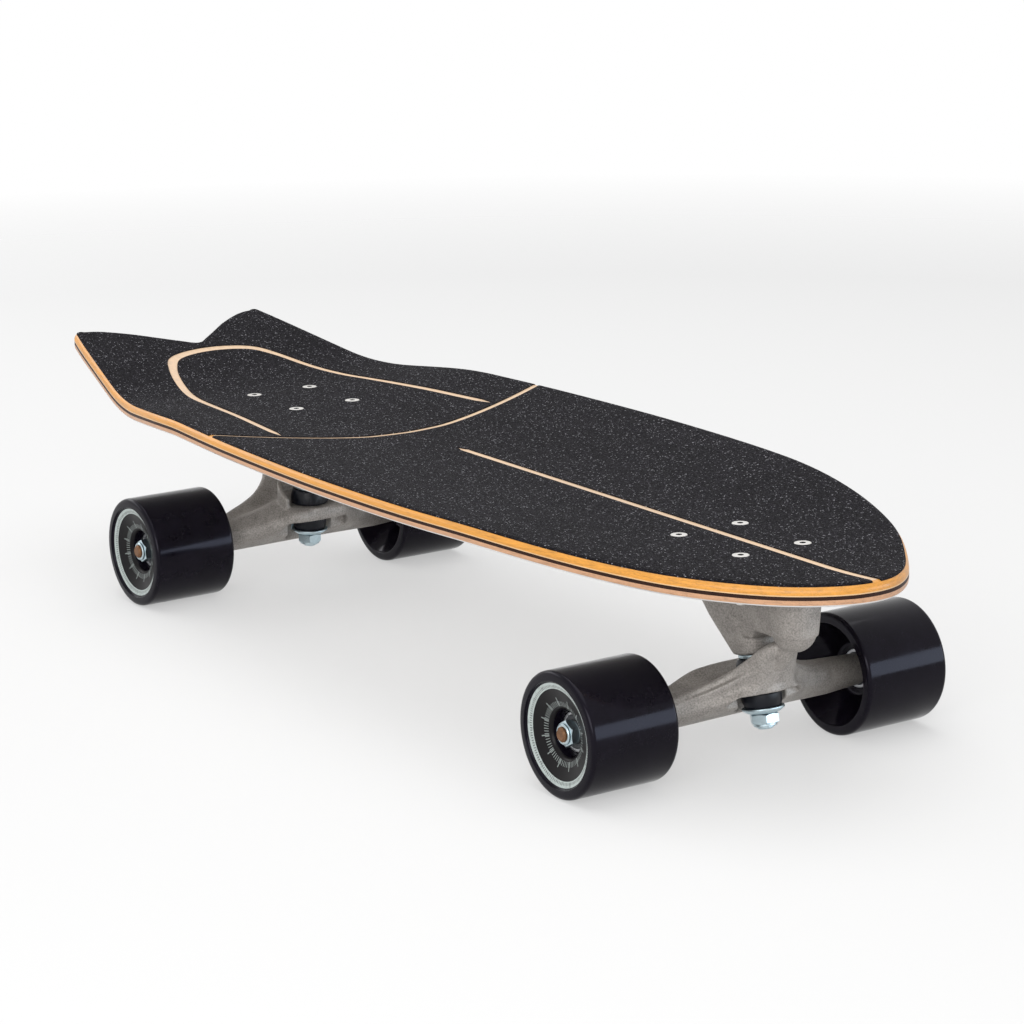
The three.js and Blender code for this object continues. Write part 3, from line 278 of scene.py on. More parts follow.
# Printed face of a wheel: one pale ring with fine radial cuts and a dial of thin ticks inside it
def printMaterial(name, hub):
    look = printLook
    material, tree, shader = startMaterial(name, look)
    place = addNode(tree, "ShaderNodeTexCoord").outputs["Object"]
    parts = addNode(tree, "ShaderNodeSeparateXYZ", None, {"Vector": place})

    def times(first, second):
        return calc(tree, "MULTIPLY", first, second)

    across = calc(tree, "SUBTRACT", parts.outputs["X"], hub.x * mm)
    up = calc(tree, "SUBTRACT", parts.outputs["Z"], hub.z * mm)
    radius = calc(tree, "SQRT", calc(tree, "ADD", times(across, across), times(up, up)))
    turn = calc(tree, "DIVIDE", calc(tree, "ARCTAN2", up, across), 2 * math.pi)

    def band(inner, outer):
        low, high = (look[key] * mm for key in (inner, outer))
        return times(calc(tree, "GREATER_THAN", radius, low), calc(tree, "LESS_THAN", radius, high))

    def spokes(count, share):
        return calc(tree, "LESS_THAN", calc(tree, "FRACT", calc(tree, "ADD", times(turn, count), 0.5)), share)

    cuts = times(band("cutInner", "cutOuter"), spokes(look["cuts"], 0.5))
    ring = times(band("ringInner", "ringOuter"), calc(tree, "SUBTRACT", 1.0, times(cuts, look["cutDepth"])))
    ticks = times(band("tickInner", "tickOuter"), spokes(look["ticks"], look["tickShare"]))
    longTicks = times(band("tickInner", "longTickOuter"), spokes(look["longTicks"], look["longTickShare"]))
    ink = calc(tree, "MAXIMUM", ring, times(calc(tree, "MAXIMUM", ticks, longTicks), look["tickInk"]))
    worn = mapRange(tree, noise(tree, place, look["wear"], 4, 0.6), 0.3, 0.5, look["wornInk"], 1.0)
    color = mixColor(tree, times(ink, worn), look["color"], look["ink"])
    tree.links.new(color, shader.inputs["Base Color"])
    bumpFrom(tree, shader, ink, 0.3, look["inkDepth"])
    return material


# Shape helpers. A form holds points in millimetres, faces and a finish number for each face.

def turned(profile, steps=64, marks=None):
    points, faces = [], []
    for i in range(steps):
        angle = 2 * math.pi * i / steps
        ring = profile(angle) if callable(profile) else profile
        points += [(r * math.cos(angle), r * math.sin(angle), h) for r, h in ring]
    count = len(points) // steps
    for i in range(steps):
        for j in range(count - 1):
            a, b = i * count + j, ((i + 1) % steps) * count + j
            faces.append((a, b, b + 1, a + 1))
    marks = (marks or [0] * count)[:count - 1] * steps
    return {"points": points, "faces": faces, "marks": marks}


# Profile with its corners rounded: each corner is [radius, height, rounding, finish of the edge after it]
def rounded(corners, steps=5):
    out, marks = [], []
    for i, corner in enumerate(corners):
        at = Vector(corner[:2])
        size, finish = (*corner[2:], 0, 0)[:2]
        if size <= 0:
            out.append(tuple(at))
            marks.append(finish)
            continue
        back = Vector(corners[i - 1][:2]) - at
        ahead = Vector(corners[(i + 1) % len(corners)][:2]) - at
        reach = min(size, back.length * 0.48, ahead.length * 0.48)
        start, end = at + back.normalized() * reach, at + ahead.normalized() * reach
        for step in range(steps + 1):
            s = step / steps
            out.append(tuple(start * (1 - s) ** 2 + at * 2 * s * (1 - s) + end * s * s))
            marks.append(finish)
    return [*out, out[0]], marks


def rod(radius, low, high, steps=48):
    return turned([(0, low), (radius, low), (radius, high), (0, high)], steps)


# Body through closed rings of equal length, capped at both ends
def loft(rings):
    count = len(rings[0])
    points = [tuple(point) for ring in rings for point in ring]
    faces = []
    for i in range(len(rings) - 1):
        for j in range(count):
            a, b = i * count + j, i * count + (j + 1) % count
            faces.append((a, b, b + count, a + count))
    faces.append(tuple(range(count - 1, -1, -1)))
    faces.append(tuple(range((len(rings) - 1) * count, len(rings) * count)))
    return {"points": points, "faces": faces, "marks": [0] * len(faces)}


# Upright cutter through the deck and its grip
def throughDeck(outline):
    return bodyOf(loft([[(x, y, z) for x, y in outline] for z in (cutLow, cutHigh)]))


def roundedRing(x0, x1, y0, y1, radius, z, steps=8):
    corner = min(radius, (x1 - x0) / 2, (y1 - y0) / 2)
    centres = [(x1 - corner, y1 - corner), (x0 + corner, y1 - corner),
               (x0 + corner, y0 + corner), (x1 - corner, y0 + corner)]
    ring = []
    for quarter, (x, y) in enumerate(centres):
        for i in range(steps + 1):
            angle = (math.pi / 2) * (quarter + i / steps)
            ring.append((x + corner * math.cos(angle), y + corner * math.sin(angle), z))
    return ring


def quarterTurn(steps):
    return [math.pi / 2 * k / steps for k in range(steps + 1)]


# Form turned upside down within its height
def flipped(form, height):
    return {**form, "points": [(x, y, height - h) for x, y, h in form["points"]]}


def moved(x=0, y=0, z=0):
    return Matrix.Translation((x, y, z))


def spun(angle, axis):
    return Matrix.Rotation(angle, 4, axis)


def bodyOf(form, place=Matrix(), materials=()):
    mesh = bpy.data.meshes.new("form")
    for material in materials:
        mesh.materials.append(material)
    mesh.from_pydata([place @ Vector(point) * mm for point in form["points"]], [], form["faces"])
    mesh.polygons.foreach_set("material_index", form["marks"])
    work = bmesh.new()
    work.from_mesh(mesh)
    bmesh.ops.remove_doubles(work, verts=work.verts, dist=0.002 * mm)
    bmesh.ops.dissolve_degenerate(work, edges=work.edges, dist=0.001 * mm)
    bmesh.ops.recalc_face_normals(work, faces=work.faces)
    if work.calc_volume(signed=True) < 0:
        bmesh.ops.reverse_faces(work, faces=work.faces)
    work.to_mesh(mesh)
    work.free()
    piece = bpy.data.objects.new("form", mesh)
    bpy.context.scene.collection.objects.link(piece)
    return piece


def applyModifiers(piece):
    bpy.context.view_layer.update()
    evaluated = piece.evaluated_get(bpy.context.evaluated_depsgraph_get())
    mesh = bpy.data.meshes.new_from_object(evaluated)
    piece.modifiers.clear()
    piece.data = mesh


def combine(base, tools, operation):
    for tool in tools:
        modifier = base.modifiers.new(operation, "BOOLEAN")
        modifier.operation = operation
        modifier.solver = "EXACT"
        modifier.object = tool
    applyModifiers(base)
    for tool in tools:
        bpy.data.objects.remove(tool)


# Cast skin: one even net of small faces, then softened corners
def castSkin(piece, voxel, passes):
    remesh = piece.modifiers.new("net", "REMESH")
    remesh.mode = "VOXEL"
    remesh.voxel_size = voxel * mm
    smooth = piece.modifiers.new("soft", "SMOOTH")
    smooth.factor = 0.5
    smooth.iterations = passes
    applyModifiers(piece)


def ready(piece, name, nodes, sharp=32):
    piece.name = name
    mesh = piece.data
    mesh.name = name
    mesh.shade_smooth()
    mesh.set_sharp_from_angle(angle=math.radians(sharp))
    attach(piece, bodyOfNode[nodes[0]])
    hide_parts(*nodes)


# Piece that needs no cutting, named for the node that it dresses
def addPiece(node, label, form, place, materials, sharp=32):
    ready(bodyOf(form, place, materials), f"{node}_{label}", [node], sharp)


# Deck and grip sheets

deckLook = {
    "concaveRise": 8.8, "flatHalfWidth": 26, "kickStart": -226.48, "kickEnd": -289.56, "kickSlope": 0.2,
    "noseLift": 1.8, "noseLiftStart": 334.4, "fade": (-284.24, -144.4, 155.8, 355.68), "concavePower": 1.25,
    "edge": 4.2, "hem": 2.2, "woodLift": 0.4, "railThinning": 0.09, "railSpan": (0.5, 0.85), "thinBelow": -1,
    "notchDepth": 44, "tipOffset": 67, "tipRound": 5, "tipTurns": (0.2, 0.4, 0.6, 0.8), "tipGap": 0.4,
    "plies": (("amberPly", 4.5), ("lightPly", 5.1), ("blackPly", 7.1), ("rosePly", 9.4)),
}
outline = [
    (-0.46, 0.624), (-0.355, 0.762), (-0.25, 0.893), (-0.195, 0.93), (-0.09, 0.978),
    (0.05, 1), (0.19, 0.962), (0.3, 0.851), (0.39, 0.65), (0.457, 0.377), (0.49, 0.174), (0.5, 0),
]
notchEdge = [(0, 0), (0.13, 0.14), (0.3, 0.36), (0.5, 0.62), (0.76, 0.88)]
gripLine = {
    "top": 1.05, "glueLine": 0.42, "rimShare": 0.42, "width": 5.4,
    "stringerStart": -12, "stringerTaper": 9, "crossX": -65.5, "crossSweep": 38, "crossPower": 1.5,
    "padRailGap": 47.7, "padNotchGap": 15.5, "padLineGap": 4, "padTaper": 12, "padBend": 30,
    "padBendWidth": 7.6,
}
padShape = [(0, 0.985), (0.32, 0.87), (0.6, 0.76), (0.77, 0.64), (0.905, 0.5), (0.975, 0.34), (1, 0)]
gripTop = deckTop + gripLine["top"]


def lerp(a, b, share):
    return a + (b - a) * share


def smoothStep(low, high, x):
    share = min(max((x - low) / (high - low), 0), 1)
    return share * share * (3 - 2 * share)


# Curve through points, steered past its ends by one more point at each
def curveThrough(points, spans, steps):
    def at(t):
        place = t * (len(points) - 1)
        i = min(int(place), len(points) - 2)
        s = place - i
        a, b, c, d = (points[min(max(i + k, 0), len(points) - 1)] for k in (-1, 0, 1, 2))
        v0, v1 = (c - a) * 0.5, (d - b) * 0.5
        return (b * 2 - c * 2 + v0 + v1) * s ** 3 + (b * -3 + c * 3 - v0 * 2 - v1) * s ** 2 + v0 * s + b
    return [at((spans[0] + (spans[1] - spans[0]) * k / steps) / (len(points) - 1)) for k in range(steps + 1)]


def tipTouch(centre, point, side):
    arm = point - centre
    angle = math.atan2(arm.y, arm.x) + side * math.acos(deckLook["tipRound"] / arm.length)
    return centre + Vector((math.cos(angle), math.sin(angle))) * deckLook["tipRound"]


def mirrored(point):
    return Vector((point.x, -point.y))


def planCurves():
    depth, offset = deckLook["notchDepth"], deckLook["tipOffset"]
    centre = Vector((deckLook["tipRound"] - halfLength, offset))
    notch = [Vector((depth * (1 - deep) - halfLength, offset * across)) for across, deep in notchEdge]
    rail = [Vector((board["length"] * a, halfWidth * b)) for a, b in outline]
    notch.append(tipTouch(centre, notch[-1], -1))
    rail.insert(0, tipTouch(centre, rail[0], 1))
    notchPoints = [mirrored(notch[1]), *notch, notch[-1] * 2 - notch[-2]]
    railPoints = [rail[0] * 2 - rail[1], *rail, mirrored(rail[-2])]
    return {
        "centre": centre,
        "notch": curveThrough(notchPoints, (1, len(notch)), 26),
        "rail": curveThrough(railPoints, (1, len(rail)), 170),
        "fineRail": curveThrough(railPoints, (1, len(rail)), 420),
    }


plan = planCurves()


def halfWidthAt(x):
    rail = plan["fineRail"]
    if x < rail[0].x:
        out = min(max(plan["centre"].x - x, 0), deckLook["tipRound"])
        return plan["centre"].y + math.sqrt(deckLook["tipRound"] ** 2 - out ** 2)
    for last, here in zip(rail, rail[1:]):
        if here.x >= x:
            return last.y + (here.y - last.y) * (x - last.x) / max(here.x - last.x, 1e-9)
    return rail[-1].y


# Rise of the deck's surface over its flat middle
def deckRise(x, y):
    d = deckLook
    tailLow, tailHigh, noseHigh, noseLow = d["fade"]
    fade = smoothStep(tailLow, tailHigh, x) * smoothStep(noseLow, noseHigh, x)
    reach = max(halfWidthAt(x) - d["flatHalfWidth"], d["flatHalfWidth"])
    across = min(max((abs(y) - d["flatHalfWidth"]) / reach, 0), 1)
    kickRun = d["kickStart"] - d["kickEnd"]
    past = max(d["kickStart"] - x, 0)
    kick = past * past / (2 * kickRun) if past < kickRun else past - kickRun / 2
    lift = max((x - d["noseLiftStart"]) / (halfLength - d["noseLiftStart"]), 0)
    rise = d["concaveRise"] * fade * across ** d["concavePower"]
    return rise + d["kickSlope"] * kick + d["noseLift"] * lift ** 2


# Ways into the wood along an edge, straight along the board at its ends
def waysIn(edge, side, ends):
    turns = ((b - a).normalized() for a, b in zip(edge, edge[2:]))
    return [Vector((ends[0], 0)), *(Vector((turn.y, -turn.x)) * side for turn in turns), Vector((ends[1], 0))]


# Stations along the deck: a place on the rail, and one on the notch's edge where there is one
def deckStations():
    tip = Vector((-halfLength, deckLook["tipOffset"]))
    arms = [Vector((math.cos(math.pi - turn), -math.sin(math.pi - turn))) for turn in deckLook["tipTurns"]]
    tipArc = [plan["centre"] + arm * deckLook["tipRound"] for arm in arms]
    notch = [point for point in reversed(plan["notch"]) if point.x > tipArc[-1].x + deckLook["tipGap"]]
    inner = [tip, *tipArc, *notch]
    outer = [tip] + [Vector((point.x, halfWidthAt(point.x))) for point in inner[1:]]
    firstPlain = inner[-1].x + deckLook["edge"]
    outer += [point for point in plan["rail"] if point.x > firstPlain]
    stations = [{"outer": point, "outerIn": way} for point, way in zip(outer, waysIn(outer, 1, (1, -1)))]
    for station, point, way in zip(stations, inner, waysIn(inner, -1, (1, 1))):
        station.update(inner=point, innerIn=way)
    return stations


# Sheet over the deck's plan and surface. The rim runs from the top face to the bottom face
# as (distance in from the edge, height over the surface, finish) steps.
def deckSheet(rim, topMark, bottomMark, across=14):
    points, faces, marks = [], [], []

    def place(at, height):
        thin = 0
        if height < deckLook["thinBelow"]:
            thin = deckLook["railThinning"] * smoothStep(*deckLook["railSpan"], abs(at.y) / halfWidth)
        points.append((at.x, at.y, deckTop + height * (1 - thin) + deckRise(at.x, at.y)))
        return len(points) - 1

    def row(station, step):
        outer = station["outer"] + station["outerIn"] * step[0]
        inner = Vector((outer.x, 0))
        if "inner" in station:
            inner = station["inner"] + station["innerIn"] * step[0]
        return [place(inner.lerp(outer, k / across), step[1]) for k in range(across + 1)]

    def edge(station, key):
        return [place(station[key] + station[key + "In"] * step[0], step[1]) for step in rim[1:-1]]

    def quads(first, second, rowMarks):
        for j in range(len(first) - 1):
            faces.append((first[j], first[j + 1], second[j + 1], second[j]))
            marks.append(rowMarks[j] if isinstance(rowMarks, list) else rowMarks)

    columns = []
    sideMarks = [step[2] for step in rim[:-1]]
    for station in deckStations():
        top = row(station, rim[0])
        bottom = row(station, rim[-1])[::-1]
        column = {"top": top, "bottom": bottom, "outer": [top[-1], *edge(station, "outer"), bottom[0]]}
        if "inner" in station:
            column["inner"] = [bottom[-1], *edge(station, "inner")[::-1], top[0]]
        columns.append(column)
    for here, ahead in zip(columns, columns[1:]):
        rings = (("top", topMark), ("outer", sideMarks), ("bottom", bottomMark), ("inner", sideMarks[::-1]))
        for key, mark in rings:
            if key in ahead:
                quads(here[key], ahead[key], mark)
    count = len(points)
    points += [(x, -y, z) for x, y, z in points]
    faces += [tuple(i + count for i in reversed(face)) for face in faces]
    return {"points": points, "faces": faces, "marks": marks * 2}


def roundOver(size, steps, share=1):
    arc = [(math.pi / 2) * (share * k / steps) for k in range(steps + 1)]
    return [(size * (1 - math.sin(angle)), -size * (1 - math.cos(angle))) for angle in arc]


def deckRim():
    hem, base, plies = deckLook["hem"], -board["thickness"], deckLook["plies"]
    steps = [(x, z + deckLook["woodLift"]) for x, z in roundOver(deckLook["edge"], 8)]
    steps += [(0, -drop) for _, drop in plies]
    steps = [step for step in steps if step[1] > base + hem] + [(0, base + hem)]
    steps += [(hem * (1 - math.cos(a)), base + hem * (1 - math.sin(a))) for a in quarterTurn(6)[1:]]
    return [(x, z, sum(-z >= drop - 1e-6 for _, drop in plies)) for x, z in steps]


boltSizes = {
    "spacing": (53.975, 41.275), "radius": 2.4, "length": 27, "headRadius": 4.7, "headHeight": 3,
    "socket": 3.2, "socketDepth": 1.8, "nutAcross": 9.4, "nutHeight": 6,
    "holeRadius": 2.75, "sinkRadius": 5.05, "sinkRim": 0.2,
}


def boltPattern():
    along, across = (size / 2 for size in boltSizes["spacing"])
    return [(x, y) for x in (along, -along) for y in (across, -across)]


def truckX(name):
    return board["wheelbaseShift"] + board["wheelbase"] / (2 if name == "front" else -2)


def boltCutters():
    hole, sink = boltSizes["holeRadius"], boltSizes["sinkRadius"]
    profile = [
        (0, cutLow), (hole, cutLow), (hole, gripTop - boltSizes["headHeight"]),
        (sink, gripTop - boltSizes["sinkRim"]),
        (sink, gripTop + overrun), (0, gripTop + overrun),
    ]
    return [
        bodyOf(turned(profile, 32), moved(truckX(name) + (x if name == "front" else -x), y))
        for name in ("front", "rear") for x, y in boltPattern()
    ]


def makeDeck():
    deck = bodyOf(deckSheet(deckRim(), 5, 4), materials=[plyMaterial(name) for name in plyLooks])
    combine(deck, boltCutters(), "DIFFERENCE")
    ready(deck, "deck_plies", ["deck"])


def crossLineAt(y):
    return gripLine["crossX"] - gripLine["crossSweep"] * (abs(y) / halfWidth) ** gripLine["crossPower"]


# Everything between one end of the board and the line across it
def areaFrom(endX, shift, count=24):
    reach = halfWidth + overrun
    ys = [reach * (i / count - 1) for i in range(2 * count + 1)]
    return throughDeck([*((crossLineAt(y) + shift, y) for y in ys), (endX, reach), (endX, -reach)])


def padCutter(steps=90):
    g = gripLine
    half = halfWidth - g["padRailGap"]
    startX = crossLineAt(half * padShape[0][1]) - g["padLineGap"]
    endX = deckLook["notchDepth"] - halfLength + g["padNotchGap"]
    length = startX - endX
    side = [Vector((endX + length * (1 - a), half * b)) for a, b in padShape]
    points = side + [mirrored(point) for point in reversed(side[:-1])]
    curve = curveThrough(points, (0, len(points) - 1), steps)
    left, right = [], []
    for i, point in enumerate(curve):
        along = curve[min(i + 1, steps)] - curve[max(i - 1, 0)]
        across = Vector((along.y, -along.x)).normalized()
        taper = min((endX + length - point.x) / g["padTaper"], 1)
        bend = smoothStep(endX + g["padBend"], endX, point.x)
        width = max(taper, 0.02) * lerp(g["width"], g["padBendWidth"], bend) / 2
        left.append(tuple(point + across * width))
        right.append(tuple(point - across * width))
    return throughDeck(left + right[::-1])


def stringerCutter():
    g, end, half = gripLine, halfLength + overrun, gripLine["width"] / 2
    full = g["stringerStart"] + g["stringerTaper"]
    return throughDeck([(g["stringerStart"], 0), (full, -half), (end, -half), (end, half), (full, half)])


def gripRim():
    bend = roundOver(deckLook["edge"], 4, math.asin(1 - gripLine["rimShare"]) / (math.pi / 2))
    upper, lower = ([(x, z + gripLine[key], 0) for x, z in bend] for key in ("top", "glueLine"))
    return upper + lower[::-1]


def makeGrips():
    material = gripMaterial()
    end, half = halfLength + overrun, gripLine["width"] / 2
    sheets = (("grip_tail", (-end, -half), padCutter), ("grip_nose", (end, half), stringerCutter))
    for name, area, line in sheets:
        sheet = bodyOf(deckSheet(gripRim(), 0, 0), materials=[material])
        combine(sheet, [areaFrom(*area)], "INTERSECT")
        combine(sheet, [line(), *boltCutters()], "DIFFERENCE")
        ready(sheet, name + "_sheet", [name])


# Trucks

truckPlaces = {
    "front": {
        "turn": 0, "axleOut": -3, "lean": 11.4, "ringOut": 17, "ringUp": 12, "pivotOut": 46, "pivotUp": 43.8,
        "archUp": 45.4, "slotTurn": 0, "bushingSpace": 1.7, "crownPocket": 0, "cupRise": 0,
    },
    "rear": {
        "turn": math.pi, "axleOut": 16.8, "lean": 3, "ringOut": -3.5, "ringUp": 15, "pivotOut": 47,
        "pivotUp": 39.5, "archUp": 47, "slotTurn": math.pi, "bushingSpace": 5.5, "crownPocket": 26,
        "cupRise": 20,
    },
}


def steerAngle(name):
    t = truckPlaces[name]
    return math.atan2(t["pivotOut"] - t["ringOut"], t["pivotUp"] - t["ringUp"])


# Places of a truck: its foot on the board, its kingpin at the ring, its pivot, and its axle
def truckFrames(name):
    t, up = truckPlaces[name], board["wheelRadius"]
    foot = moved(truckX(name)) @ spun(t["turn"], "Z")
    pin = moved(t["ringOut"], 0, up + t["ringUp"]) @ spun(-math.radians(t["lean"]), "Y")
    pivot = moved(t["pivotOut"], 0, up + t["pivotUp"]) @ spun(steerAngle(name), "Y")
    return foot, foot @ pin, foot @ pivot, foot @ moved(t["axleOut"], 0, up)


def hexRadius(across, angle):
    return across / 2 / math.cos((angle + math.pi / 6) % (math.pi / 3) - math.pi / 6)


def boltForm():
    b = boltSizes

    def profileAt(angle):
        socket = hexRadius(b["socket"], angle)
        return [
            (0, -b["socketDepth"]), (socket, -b["socketDepth"]), (socket, 0), (b["headRadius"] - 0.5, 0),
            (b["headRadius"] - 0.15, -0.08), (b["headRadius"], -0.35), (b["radius"], -b["headHeight"]),
            (b["radius"], -b["length"] + 0.4), (b["radius"] - 0.4, -b["length"]), (0, -b["length"]),
        ]
    # The socket's floor and walls take the second finish, which is painted shade
    return turned(profileAt, 48, [1, 1, 0, 0, 0, 0, 0, 0, 0])


nutShape = {"faceShare": 0.97, "chamfer": 28, "hexShare": 0.76, "collarShare": 0.93, "boreGap": 0.15}


# Hexagon nut with turned corners and a nylon ring sunk in its far end
def nutForm(across, height, bore):
    face = across / 2 * nutShape["faceShare"]
    rise = math.tan(math.radians(nutShape["chamfer"]))
    top, collar = height * nutShape["hexShare"], face * nutShape["collarShare"]

    def profileAt(angle):
        out = hexRadius(across, angle)
        cut = max(out - face, 0.02) * rise
        return [
            (bore, 0), (face, 0), (out, cut), (out, top - cut), (face, top), (collar, top + 0.05),
            (collar, height - 0.5), (collar - 0.5, height), (collar - 1.1, height),
            (collar - 1.2, height - 0.35), (bore, height - 0.35), (bore, 0),
        ]
    return turned(profileAt, 96, [0] * 8 + [1, 1, 0])


stackSizes = {
    "kingpinRadius": 4.75, "reach": 34, "tip": 1.4, "headAcross": 14.3, "headHeight": 5.5,
    "nutAcross": 14.3, "nutHeight": 7, "ringThickness": 8.6, "seatGap": 0.3, "boreGap": 0.25,
    "topRadius": 12.2, "topHeight": 9.4, "bottomRadius": 11, "bottomHeight": 9, "endShare": 0.88,
    "bellyShare": 0.42, "topWasher": 9.9, "bottomWasher": 11.6, "washer": 2.1, "lip": 1.1,
}
seatGap = stackSizes["seatGap"]
ringHalf = stackSizes["ringThickness"] / 2
stackBore = stackSizes["kingpinRadius"] + stackSizes["boreGap"]
topBushingZ = ringHalf + seatGap
topWasherZ = topBushingZ + stackSizes["topHeight"] + seatGap
bossFaceZ = topWasherZ + stackSizes["washer"] + seatGap
bottomBushingZ = -ringHalf - seatGap - stackSizes["bottomHeight"]
bottomWasherZ = bottomBushingZ - seatGap - stackSizes["washer"]
kingpinNutZ = bottomWasherZ - seatGap - stackSizes["nutHeight"]


def bushingForm(radius, height):
    bore, small, belly = stackBore, radius * stackSizes["endShare"], height * stackSizes["bellyShare"]
    corners = [(bore, 0, 0), (radius, 0, 1.2), (radius, belly, 1.5), (small, height, 1.2), (bore, height, 0)]
    return turned(rounded(corners)[0], 72)


def cupWasherForm():
    z = stackSizes
    seat, rim = z["bottomRadius"] * z["endShare"] + z["boreGap"], z["washer"] + z["lip"]
    corners = [
        (stackBore, 0, 0.2), (seat - 1.1, 0, 1.2), (z["bottomWasher"], z["washer"], 0.9),
        (z["bottomWasher"], rim, 0.4), (seat, rim, 0.35), (seat, z["washer"], 0.2),
        (stackBore, z["washer"], 0),
    ]
    return turned(rounded(corners)[0], 72)


def washerForm(radius, bore, thickness):
    corners = [(bore, 0, 0.15), (radius, 0, 0.5), (radius, thickness, 0.5), (bore, thickness, 0.15)]
    return turned(rounded(corners)[0], 64)


def kingpinForm():
    z = stackSizes
    r, end, neck, head = z["kingpinRadius"], kingpinNutZ - z["tip"], z["reach"], z["reach"] + z["headHeight"]
    face = z["headAcross"] / 2 * nutShape["faceShare"]

    def profileAt(angle):
        out = hexRadius(z["headAcross"], angle)
        cut = max(out - face, 0.02) * 0.5
        return [(0, end), (r - 0.9, end), (r, end + 0.9), (r, neck), (out, neck), (out, head - cut),
                (face, head), (0, head)]
    return turned(profileAt, 48)


def makeKingpinStack(name, metals, plastics):
    z, pin = stackSizes, truckFrames(name)[1]
    steel, rubber = [metals["zincSteel"]], [plastics["blackBushing"]]
    nut = nutForm(z["nutAcross"], z["nutHeight"], z["kingpinRadius"] + nutShape["boreGap"])
    disc = washerForm(z["topWasher"], stackBore, z["washer"])
    upper = bushingForm(z["topRadius"], z["topHeight"])
    lower = bushingForm(z["bottomRadius"], z["bottomHeight"])
    for node, label, form, height, materials in (
        ("kingpin", "pin", kingpinForm(), 0, steel),
        ("kingpin_nut", "hex", flipped(nut, z["nutHeight"]), kingpinNutZ, steel * 2),
        ("top_washer", "disc", disc, topWasherZ, steel),
        ("bottom_washer", "cup", cupWasherForm(), bottomWasherZ, steel),
        ("top_bushing", "ring", upper, topBushingZ, rubber),
        ("bottom_bushing", "ring", flipped(lower, z["bottomHeight"]), bottomBushingZ, rubber),
    ):
        addPiece(f"{name}_{node}", label, form, pin @ moved(z=height), materials)


def makeBolts(name, metals, plastics):
    height = boltSizes["nutHeight"]
    nut = flipped(nutForm(boltSizes["nutAcross"], height, boltSizes["radius"] + nutShape["boreGap"]), height)
    # Bolt heads in nickel, with painted shade inside their hex sockets
    boltLooks = [metals["brightNickel"], plastics["paintedSocketShade"]]
    nutLooks = [metals["yellowBrass"], plastics["whiteNylon"]]
    foot = truckFrames(name)[0]
    for i, (x, y) in enumerate(boltPattern(), 1):
        addPiece(f"{name}_bolt_{i}", "screw", boltForm(), foot @ moved(x, y, gripTop), boltLooks)
        addPiece(f"{name}_bolt_nut_{i}", "hex", nut, foot @ moved(x, y, plateBottom - height), nutLooks)


castSizes = {
    "plateLength": 79, "plateWidth": 57, "plateThickness": 6, "plateCorner": 11, "plateOffset": 1,
    "bodyHalfWidth": 15, "bodyCorner": 12, "bodyShoulder": 20, "bodyBack": 39, "webProud": 0.35,
    "kingpinBoss": 11.6, "pivotBoss": 12, "pivotBossDrop": 8, "archRadius": 5.4, "archPast": 12,
    "headSpace": 1.6, "gap": 0.3, "cupGap": 0.25, "axleHole": 4.3,
    "hangerHalf": 82.5, "armEnd": 8.6, "arm": 10, "casing": 9.4, "armStart": 58, "ringWall": 3.5,
    "pocketSwing": 4.2, "kingpinSwing": 3.4, "slotHalfWidth": 25, "slotCorner": 7,
    "pivot": 5, "pivotDrop": 2.5, "pivotNeck": 6.5, "pivotNeckLength": 22, "cupWall": 1.6, "cupDrop": 1.5,
    "seatWallIn": 1.5, "seatWallOut": 3, "seatWallRoot": 3, "seatWallLift": 1, "seatWallTurn": 105,
    "seatWallPower": 1.5,
    "crownBack": 5, "crownHalfWidth": 12, "crownCorner": 5, "crownFloor": 1.2,
    "dishGap": 1.3, "voxel": 0.75, "plateVoxel": 0.8, "softening": 3, "plateSoftening": 8,
}
plateBottom = board["underside"] - castSizes["plateThickness"]
skin = 0.02  # keeps faces that share a plane apart


def besideKingpin(name, across, up):
    t = truckPlaces[name]
    sin, cos = math.sin(math.radians(t["lean"])), math.cos(math.radians(t["lean"]))
    along = t["ringOut"] + across * cos - up * sin
    return along, board["wheelRadius"] + t["ringUp"] + across * sin + up * cos


# Flange, leaning body and web of a baseplate, and the boss round its pivot
def baseplateForms(name):
    c, t = castSizes, truckPlaces[name]
    back = besideKingpin(name, -c["kingpinBoss"], bossFaceZ)
    front = besideKingpin(name, c["kingpinBoss"], bossFaceZ)
    slope = (back[0] + c["bodyBack"]) / (plateBottom - back[1])
    root = plateBottom + c["plateThickness"] / 2
    shoulders = [lerp(back[1], back[1] + c["bodyShoulder"], k / 6) for k in range(7)]
    rings = []
    for z in (back[1] - c["kingpinBoss"], *shoulders, root):
        share = min(max((z - back[1]) / c["bodyShoulder"], 0), 1)
        half = lerp(c["kingpinBoss"], c["bodyHalfWidth"], share)
        corner = min(lerp(c["kingpinBoss"], c["bodyCorner"], share), half)
        left = back[0] - slope * (z - back[1])
        right = front[0] - math.tan(math.radians(t["lean"])) * (z - front[1])
        rings.append(roundedRing(left, right, -half, half, corner, z, 10))
    middle, length, width = c["plateOffset"], c["plateLength"] / 2, c["plateWidth"] / 2
    plate = [
        roundedRing(middle - length, middle + length, -width, width, c["plateCorner"], z, 10)
        for z in (plateBottom, board["underside"])
    ]
    start = besideKingpin(name, 0, stackSizes["reach"])[0]
    low = board["wheelRadius"] + t["archUp"] - c["archRadius"]
    web = [
        roundedRing(start - half, t["pivotOut"] + half, -half, half, half, z, 12)
        for half, z in ((c["pivotBoss"] + c["webProud"], low), (c["bodyHalfWidth"], root - 0.1))
    ]
    radius, top = c["pivotBoss"], board["underside"] - c["gap"]
    centreZ = board["wheelRadius"] + t["pivotUp"] - c["pivotBossDrop"] + radius
    bottom = [(radius * math.sin(a), centreZ - radius * math.cos(a)) for a in quarterTurn(14)]
    return loft(plate), loft(rings), loft(web), turned([*bottom, (radius, top), (0, top)], 64)


